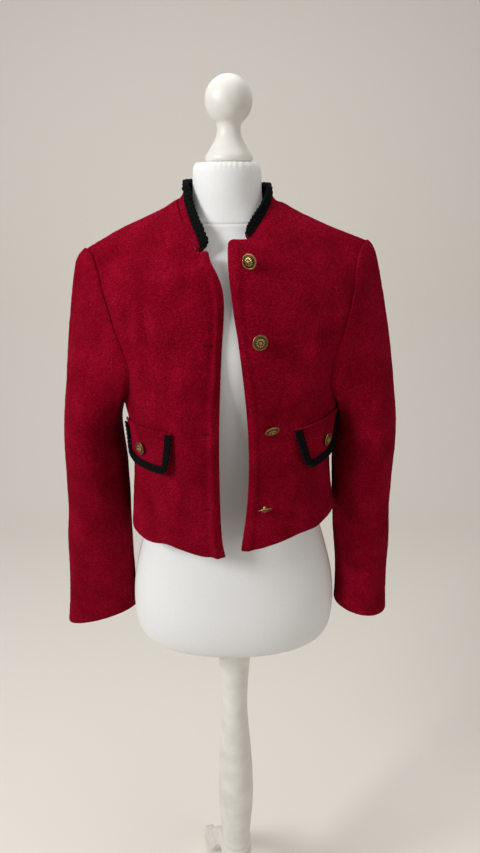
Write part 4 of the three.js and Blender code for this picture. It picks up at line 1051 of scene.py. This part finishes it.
def rosette(radius, angle):
    """Relief of a button's face: a beaded rim, a ring and petals round a knob."""
    beads = 0.75 * bell(radius, 8.9, 0.75) * (0.6 + 0.4 * np.cos(BEADS * angle))
    petal = np.abs(np.cos(PETALS / 2 * angle))
    reach = 4.6 + 1.9 * petal ** 0.6
    flower = 0.55 * smooth((reach - radius) / 0.7) * smooth((radius - 3.1) / 0.6)
    flower = flower * (0.35 + 0.65 * petal)
    heart = np.abs(np.cos(PETALS / 4 * angle + QUARTER))
    inner = 0.5 * heart * smooth((2.9 - radius) / 0.6) * smooth(radius / 0.8)
    return beads + flower + inner + 0.6 * bell(radius, 0, 1.2) + 0.35 * bell(radius, 7.3, 0.35)


def button_mesh(name, place, facing, scale):
    """A domed button with a rosette in relief, on its shank."""
    angle = 2 * math.pi * np.arange(BUTTON_SIDES) / BUTTON_SIDES
    face = np.linspace(BUTTON_RADIUS - 0.3, 0.02, BUTTON_RINGS)[:, None]
    dome = 1 - np.minimum(face / BUTTON_RADIUS / 0.82, 1) ** 2
    raised = rosette(face, angle)
    height = BUTTON_RIM - 0.6 + BUTTON_DOME * 0.95 * dome + raised
    behind = np.ones_like(angle)
    height = np.concatenate([BUTTON_BACK["height"][:, None] * behind, height])
    radius = np.concatenate([BUTTON_BACK["radius"], face[:, 0]])[:, None]
    points = np.stack([radius * np.cos(angle), radius * np.sin(angle), height], -1) * scale
    piece = tube(name, points @ frame_of(facing).T + place, gold)
    recess = np.zeros_like(height)
    recess[len(BUTTON_BACK["height"]):] = 1 - np.clip(raised / 0.55, 0, 1)
    layer = piece.data.attributes.new("recess", "FLOAT", "POINT")
    layer.data.foreach_set("value", recess.reshape(-1).astype(np.float32))
    return piece


def button(name, spot, normal, scale, yaw, pitch):
    """A button turned from the cloth's direction, held clear of the cloth by its lean."""
    facing = unit(normal * np.array([1, 1, 0]))
    c, s = math.cos(yaw * DEGREE), math.sin(yaw * DEGREE)
    facing = np.array([c * facing[0] - s * facing[1], s * facing[0] + c * facing[1], 0])
    facing = facing * math.cos(pitch * DEGREE) - np.array([0, 0, math.sin(pitch * DEGREE)])
    lean = math.acos(min(float(facing @ normal), 1))
    shank = BUTTON_SHANK * math.cos(lean) + BUTTON_SHANK_RADIUS * math.sin(lean)
    clear = SEAM_GAP * 2 + scale * max(shank, BUTTON_RADIUS * math.sin(lean))
    return button_mesh(name, spot + normal * clear, facing, scale)


def front_buttons():
    pieces = []
    for i, (out, height, yaw, pitch) in enumerate(zip(*BUTTONS.values())):
        turn, lap = on_body(LEFT, out, height)
        spot, normal = body_point(LEFT, turn, lap), body_normal(LEFT, turn, lap)
        pieces.append(button(f"gold_button_{i + 1}", spot, normal, 1, yaw, pitch))
    return pieces


def flap_button(side):
    def at(across, low):
        lift = flap_lift(across, low) + FLAP_WALL
        return flap_point(side, across, low, lift)[0]

    middle, down = FLAP_WIDTH / 2, FLAP_HEIGHT * 0.55
    around = at(middle + 4, down) - at(middle - 4, down)
    fall = at(middle, down + 4) - at(middle, down - 4)
    normal = unit(np.cross(fall, around) * side)
    return button(f"gold_flap_button_{WORD[side]}", at(middle, down), normal, BUTTON_SCALE_FLAP, 0, 4)


BUTTONHOLES = table("height inset long", [
    [1361, 9, 7], [1271, 12, 12], [1156, 12, 12], [1048, 13, 8],
])
HOLE_STEPS, HOLE_RING, HOLE_HALF, HOLE_LIFT, HOLE_THREAD = 64, 10, 0.6, 0.9, 0.5


def buttonhole(name, height, inset, long):
    """Worked thread round a buttonhole on the wearer's right front."""
    from_edge = read(EDGE[RIGHT], "height", height, "out") + inset
    angle = 2 * math.pi * np.arange(HOLE_STEPS) / HOLE_STEPS
    out = from_edge + long / 2 + long / 2 * np.cos(angle)
    rise = height + HOLE_HALF * np.sign(np.sin(angle)) * np.abs(np.sin(angle)) ** 0.6
    turn, lap = on_body(RIGHT, out, rise)
    path, normal = body_point(RIGHT, turn, lap), body_normal(RIGHT, turn, lap)
    path[:, 1] -= SEAM_GAP / 2
    ahead = unit(np.roll(path, -1, axis=0) - np.roll(path, 1, axis=0))
    across = unit(np.cross(ahead, normal))
    thick = HOLE_THREAD * (1 + 0.15 * np.cos(32 * angle))[:, None]
    points = np.array([
        path + normal * HOLE_LIFT + (across * math.cos(a) + normal * math.sin(a)) * thick
        for a in 2 * math.pi * np.arange(HOLE_RING) / HOLE_RING
    ]).reshape(-1, 3)
    index = np.arange(len(points)).reshape(HOLE_RING, HOLE_STEPS)
    faces = quads(np.concatenate([index, index[:1]]), True)
    return new_object(name, points, outward(points, faces), thread)


# ---------------------------------------------------------------- dress form

TURNED_SIDES, TURNED_STEP, TURNED_LEAST = 96, 2.0, 24


def turned(name, height, radius):
    """A piece turned on the pole's axis, with flat ends."""
    angle = 2 * math.pi * np.arange(TURNED_SIDES) / TURNED_SIDES
    x, y = radius[:, None] * np.cos(angle), radius[:, None] * np.sin(angle)
    return tube(name, np.stack([x, y, np.broadcast_to(height[:, None], x.shape)], -1), paint)


def turned_rows(name, rows):
    rows = table("height radius", rows)
    low, high = rows["height"][0], rows["height"][-1]
    even = np.linspace(low, high, max(int((high - low) / TURNED_STEP), TURNED_LEAST))
    height = np.unique(np.concatenate([even, rows["height"]]))
    return turned(name, height, read(rows, "height", height, "radius"))


def form_cap():
    rows = table("height radius", CAP_PROFILE)
    neck_height = np.linspace(rows["height"][0], rows["height"][-1], 60)
    neck_radius = read(rows, "height", neck_height, "radius")
    angle = np.linspace(BALL_FROM * DEGREE, QUARTER - 0.03, 50)
    height = np.concatenate([neck_height, BALL_MIDDLE + BALL_RADIUS * np.sin(angle)])
    radius = np.concatenate([neck_radius, BALL_RADIUS * np.cos(angle)])
    return turned("wood_cap", height, radius)


NECK_SEAM, TORSO_SIDES = 1415.0, 200


def form_torso():
    height = np.unique(np.concatenate([
        np.arange(764, 1486.1, 4.0), np.arange(NECK_SEAM - 5, NECK_SEAM + 5, 1.0),
        np.arange(1462, 1486.1, 1.5), [1486.0],
    ]))
    angle = 2 * math.pi * np.arange(TORSO_SIDES) / TORSO_SIDES
    z, a = np.meshgrid(height, angle, indexing="ij")
    at = {name: read(TORSO, "height", z, name) for name in ("half", "front", "back", "square")}
    across, ahead = np.cos(a), np.sin(a)
    power = 2 / at["square"]
    x = NECK_ASIDE * smooth((z - 1400) / 50) + at["half"] * np.sign(across) * np.abs(across) ** power
    depth = np.where(ahead < 0, at["front"], at["back"])
    y = depth * np.sign(ahead) * np.abs(ahead) ** power
    grid = np.stack([x, y, z], -1)
    normal = tube_normals(grid)
    away = np.stack([across, ahead, np.zeros_like(a)], -1)
    normal = normal * np.sign(np.sum(normal * away, -1, keepdims=True))
    seam = NECK_SEAM + 3 * np.sin(a)
    groove = -0.9 * bell(z, seam, 1.2) + 0.35 * bell(z, seam, 4)
    gather = 0.3 * np.cos(31 * a + 3 * np.sin(4 * a)) * smooth((z - 1474) / 9)
    side_seam = -0.5 * bell(np.abs(np.sin(a)) * 140, 0, 1.6) * smooth((1400 - z) / 10)
    return tube("jersey_torso", grid + normal * (groove + gather + side_seam)[..., None], jersey)


LEG_THICK, LEG_DIRECTIONS = 22, (108, 228, 348)
LEG_LINE = table("out height half", [
    [31.3, 168, 34], [58, 170, 25], [92, 152, 19], [128, 112, 17], [156, 68, 18], [180, 32, 20],
    [204, 17, 21],
])
LEG_CORNER, LEG_RINGS, FOOT_RINGS = 4.0, 60, 14


def rounded(half, thick):
    """Up and across places round a rounded rectangle."""
    radius = min(LEG_CORNER, half, thick)
    outline = []
    for quarter, (up, across) in enumerate([(1, 1), (1, -1), (-1, -1), (-1, 1)]):
        for turn in quarter * QUARTER + np.linspace(0, QUARTER, 5):
            outline.append((up * (half - radius) + radius * math.sin(turn),
                            across * (thick - radius) + radius * math.cos(turn)))
    return outline


def leg(number, direction):
    """A curved board with rounded edges, from the hub down to a round foot."""
    rows = LEG_LINE | {"part": np.linspace(0, 1, len(LEG_LINE["out"]))}

    def middle(t):
        return np.array([read(rows, "part", t, "out"), read(rows, "part", t, "height")])

    rings = []
    for t in np.linspace(0, 1, LEG_RINGS):
        here = middle(t)
        ahead = unit(middle(min(t + SMALL, 1)) - middle(max(t - SMALL, 0))) if t else (1, 0)
        half = float(read(rows, "part", t, "half"))
        rings.append([(here[0] - ahead[1] * up, across, here[1] + ahead[0] * up)
                      for up, across in rounded(half, LEG_THICK / 2)])
    out, height, half = (LEG_LINE[name][-1] for name in ("out", "height", "half"))
    for a in np.linspace(0, QUARTER, FOOT_RINGS)[1:-1]:
        foot = rounded(half * math.cos(a), LEG_THICK / 2 * math.cos(a) ** 0.5)
        rings.append([(out + half * math.sin(a), across, height + up) for up, across in foot])
    points = np.array(rings)
    c, s = math.cos(direction * DEGREE), math.sin(direction * DEGREE)
    x, y = points[..., 0] * c - points[..., 1] * s, points[..., 0] * s + points[..., 1] * c
    return tube(f"wood_leg_{number}", np.stack([x, y, np.maximum(points[..., 2], 0)], -1), paint)


# ---------------------------------------------------------------- materials

def material(name, base, roughness, **inputs):
    """A principled material with its node tree, ready for texture nodes."""
    made = bpy.data.materials.new(name)
    made.use_nodes = True
    shader = made.node_tree.nodes["Principled BSDF"]
    shader.inputs["Base Color"].default_value = (*base, 1)
    shader.inputs["Roughness"].default_value = roughness
    for key, value in inputs.items():
        shader.inputs[key.replace("_", " ")].default_value = value
    return made, made.node_tree, shader


def add(tree, kind, **values):
    node = tree.nodes.new(kind)
    for key, value in values.items():
        name = key.replace("_", " ")
        if name in node.inputs:
            node.inputs[name].default_value = value
        else:
            setattr(node, key, value)
    return node


def coordinates(tree):
    return add(tree, "ShaderNodeTexCoord").outputs["Object"]


def ramp(tree, source, stops):
    node = add(tree, "ShaderNodeValToRGB")
    while len(node.color_ramp.elements) < len(stops):
        node.color_ramp.elements.new(0.5)
    for element, (place, colour) in zip(node.color_ramp.elements, stops):
        element.position = place
        element.color = (*colour, 1)
    tree.links.new(source, node.inputs["Fac"])
    return node.outputs["Color"]


def texture(tree, kind, scale, stretch=(1, 1, 1), **values):
    """A texture on the piece's own coordinates, with lumps narrowed by 'stretch' along each axis."""
    node = add(tree, kind, Scale=scale, **values)
    mapping = add(tree, "ShaderNodeMapping", Scale=stretch)
    tree.links.new(coordinates(tree), mapping.inputs["Vector"])
    tree.links.new(mapping.outputs["Vector"], node.inputs["Vector"])
    return node


def bump(tree, shader, source, strength, distance):
    node = add(tree, "ShaderNodeBump", Strength=strength, Distance=distance)
    tree.links.new(source, node.inputs["Height"])
    tree.links.new(node.outputs["Normal"], shader.inputs["Normal"])
    return node


def add_up(tree, first, second, weight):
    """first + second x weight."""
    node = add(tree, "ShaderNodeMath", operation="MULTIPLY_ADD")
    tree.links.new(second, node.inputs[0])
    node.inputs[1].default_value = weight
    tree.links.new(first, node.inputs[2])
    return node.outputs[0]


def tint(tree, shader, source, stops):
    tree.links.new(ramp(tree, source, stops), shader.inputs["Base Color"])


def wool_material():
    made, tree, shader = material(
        "wool_crimson", (0.25, 0.003, 0.014), 0.95, Specular_IOR_Level=0.02, Sheen_Weight=0.05,
        Sheen_Roughness=0.5, Sheen_Tint=(0.9, 0.05, 0.16, 1),
    )
    loops = texture(tree, "ShaderNodeTexVoronoi", 560, (1, 1, 1.6), Randomness=1)
    curls = texture(tree, "ShaderNodeTexNoise", 620, (0.55, 0.55, 2.2), Detail=3, Roughness=0.65)
    patches = texture(tree, "ShaderNodeTexNoise", 26, Detail=3)
    height = add_up(tree, curls.outputs["Fac"], loops.outputs["Distance"], -0.7)
    height = add_up(tree, height, patches.outputs["Fac"], 0.4)
    bump(tree, shader, height, 0.8, 0.0018)
    # The colour follows the loops' height: their tops are lighter and their hollows darker, which is
    # painted shade, over random patches of tone in the yarn.
    colour = add_up(tree, curls.outputs["Fac"], loops.outputs["Distance"], -0.3)
    colour = add_up(tree, colour, patches.outputs["Fac"], 0.35)
    tint(tree, shader, colour, [
        (0.25, (0.08, 0.0002, 0.003)), (0.52, (0.195, 0.0006, 0.0095)), (0.80, (0.40, 0.006, 0.032)),
    ])
    return made


def gold_material():
    """Brass that is dark in its recesses."""
    made, tree, shader = material("gold_antique", (0.48, 0.30, 0.10), 0.36, Metallic=1)
    recess = add(tree, "ShaderNodeAttribute", attribute_name="recess")
    wear = texture(tree, "ShaderNodeTexNoise", 500, Detail=3)
    depth = add_up(tree, recess.outputs["Fac"], wear.outputs["Fac"], 0.25)
    tint(tree, shader, depth, [
        (0.12, (0.50, 0.34, 0.13)), (0.45, (0.22, 0.14, 0.055)), (0.9, (0.035, 0.022, 0.010)),
    ])
    rough = ramp(tree, depth, [(0.2, (0.28,) * 3), (1.0, (0.6,) * 3)])
    tree.links.new(rough, shader.inputs["Roughness"])
    bump(tree, shader, wear.outputs["Fac"], 0.15, 0.0003)
    return made


def grained(name, base, roughness, grain, relief, stops, **inputs):
    """A material whose colour and bump follow one noise: grain is its scale and detail."""
    made, tree, shader = material(name, base, roughness, **inputs)
    scale, detail = grain
    noisy = texture(tree, "ShaderNodeTexNoise", scale, Detail=detail)
    bump(tree, shader, noisy.outputs["Fac"], *relief)
    tint(tree, shader, noisy.outputs["Fac"], stops)
    return made


wool, gold = wool_material(), gold_material()
braid = grained(
    "braid_black", (0.004, 0.0045, 0.005), 0.7, (1400, 2), (0.7, 0.0006),
    [(0.3, (0.0005, 0.0006, 0.0007)), (0.75, (0.0042, 0.0048, 0.005))], Specular_IOR_Level=0.06,
)
jersey = grained(
    "jersey_white", (0.78, 0.77, 0.75), 0.85, (1500, 2), (0.25, 0.0004),
    [(0.3, (0.70, 0.69, 0.67)), (0.7, (0.80, 0.79, 0.77))], Sheen_Weight=0.15,
)
paint = grained(
    "paint_cream", (0.72, 0.69, 0.63), 0.42, (30, 4), (0.12, 0.0015),
    [(0.3, (0.66, 0.63, 0.57)), (0.7, (0.77, 0.74, 0.69))],
)
thread = grained(
    "thread_crimson", (0.10, 0.002, 0.008), 0.8, (1600, 2), (0.5, 0.0004),
    [(0.3, (0.04, 0.0006, 0.003)), (0.7, (0.13, 0.003, 0.010))], Specular_IOR_Level=0.05,
)


# ---------------------------------------------------------------- the pieces

def cloth(piece, node):
    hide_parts(node)


def standing_for(piece, node):
    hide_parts(node)


for i, (height, inset, long) in enumerate(zip(*BUTTONHOLES.values())):
    hole = buttonhole(f"thread_hole_{i + 1}", height, inset, long)

cloth(back(), "back")
for side in (RIGHT, LEFT):
    word = WORD[side]
    cloth(front(side), f"front_{word}")
    cloth(sleeve(side), f"sleeve_{word}")
    cloth(flap(side), f"flap_{word}")
    cloth(flap_trim(side), f"flap_trim_{word}")
    standing_for(flap_button(side), f"flap_button_{word}")
COLUMNS = collar_columns()
cloth(collar(COLUMNS), "collar")
cloth(collar_trim(COLUMNS), "collar_trim")
for i, piece in enumerate(front_buttons()):
    standing_for(piece, f"button_{i + 1}")

torso = form_torso()
standing_for(torso, "form_torso")
standing_for(form_cap(), "form_cap")
standing_for(turned_rows("wood_pole", POLE_PROFILE), "form_pole")
standing_for(turned_rows("wood_hub", HUB_PROFILE), "form_hub")
for number, direction in enumerate(LEG_DIRECTIONS, 1):
    standing_for(leg(number, direction), f"leg_{number}")


# ---------------------------------------------------------------- room, light and camera

def backdrop():
    """A pale floor that curves up into a wall behind the form."""
    bend = np.linspace(0, QUARTER, 17)
    radius, behind, high, wide = 900, 1700, 3200, 3600
    line = [(-3200, 0)] + [(behind + radius * math.sin(a), radius * (1 - math.cos(a))) for a in bend]
    line.append((behind + radius, high))
    points = np.array([[(x, y, z) for x in (-wide, wide)] for y, z in line], float)
    index = np.arange(points.shape[0] * 2).reshape(-1, 2)
    made, _, _ = material("backdrop_pale", (0.80, 0.75, 0.69), 0.9)
    mesh = bpy.data.meshes.new("backdrop")
    mesh.from_pydata(to_world(points.reshape(-1, 3)).tolist(), [], quads(index, False).tolist())
    mesh.shade_smooth()
    mesh.materials.append(made)
    piece = bpy.data.objects.new("backdrop", mesh)
    bpy.context.scene.collection.objects.link(piece)


def light(name, place, aim, size, power, colour):
    data = bpy.data.lights.new(name, "AREA")
    data.shape = "RECTANGLE"
    data.size, data.size_y = size
    data.energy = power
    data.color = colour
    lamp = bpy.data.objects.new(name, data)
    lamp.location = Vector(place) + Vector(AXIS)
    way = Vector(aim) - Vector(place)
    lamp.rotation_euler = way.to_track_quat("-Z", "Y").to_euler()
    bpy.context.scene.collection.objects.link(lamp)


CAMERA_PLACE = Vector((0.012, -0.900, 1.450))
CAMERA_DOWN, CAMERA_ROLL = 20.1 * DEGREE, -0.35 * DEGREE
IMAGE_HEIGHT, FOCAL_PIXELS = 853, 640


def camera():
    data = bpy.data.cameras.new("camera")
    data.sensor_fit = "AUTO"
    data.sensor_width = 36
    data.lens = 36 * FOCAL_PIXELS / IMAGE_HEIGHT
    eye = bpy.data.objects.new("camera", data)
    ahead = Vector((0, math.cos(CAMERA_DOWN), -math.sin(CAMERA_DOWN)))
    level = Vector((1, 0, 0))
    rise = level.cross(ahead)
    right = math.cos(CAMERA_ROLL) * level + math.sin(CAMERA_ROLL) * rise
    up = -math.sin(CAMERA_ROLL) * level + math.cos(CAMERA_ROLL) * rise
    turn = Matrix((right, up, -ahead)).transposed().to_4x4()
    eye.matrix_world = Matrix.Translation(CAMERA_PLACE + Vector(AXIS)) @ turn
    bpy.context.scene.collection.objects.link(eye)
    bpy.context.scene.camera = eye


backdrop()
light("key", (-1.9, -1.2, 2.3), (0, 0, 1.15), (0.9, 0.9), 54, (0.97, 0.99, 1.0))
light("fill", (1.7, -1.7, 1.7), (0, 0, 1.1), (1.8, 1.8), 13, (1.0, 0.93, 0.86))
light("top", (0, 0.3, 3.1), (0, 0, 1.0), (2.0, 2.0), 28, (1.0, 0.98, 0.95))
world = bpy.data.worlds.new("soft_white")
world.use_nodes = True
world.node_tree.nodes["Background"].inputs["Color"].default_value = (0.9, 0.92, 0.95, 1)
world.node_tree.nodes["Background"].inputs["Strength"].default_value = 0.3
bpy.context.scene.world = world
bpy.context.scene.view_settings.view_transform = "Standard"
camera()
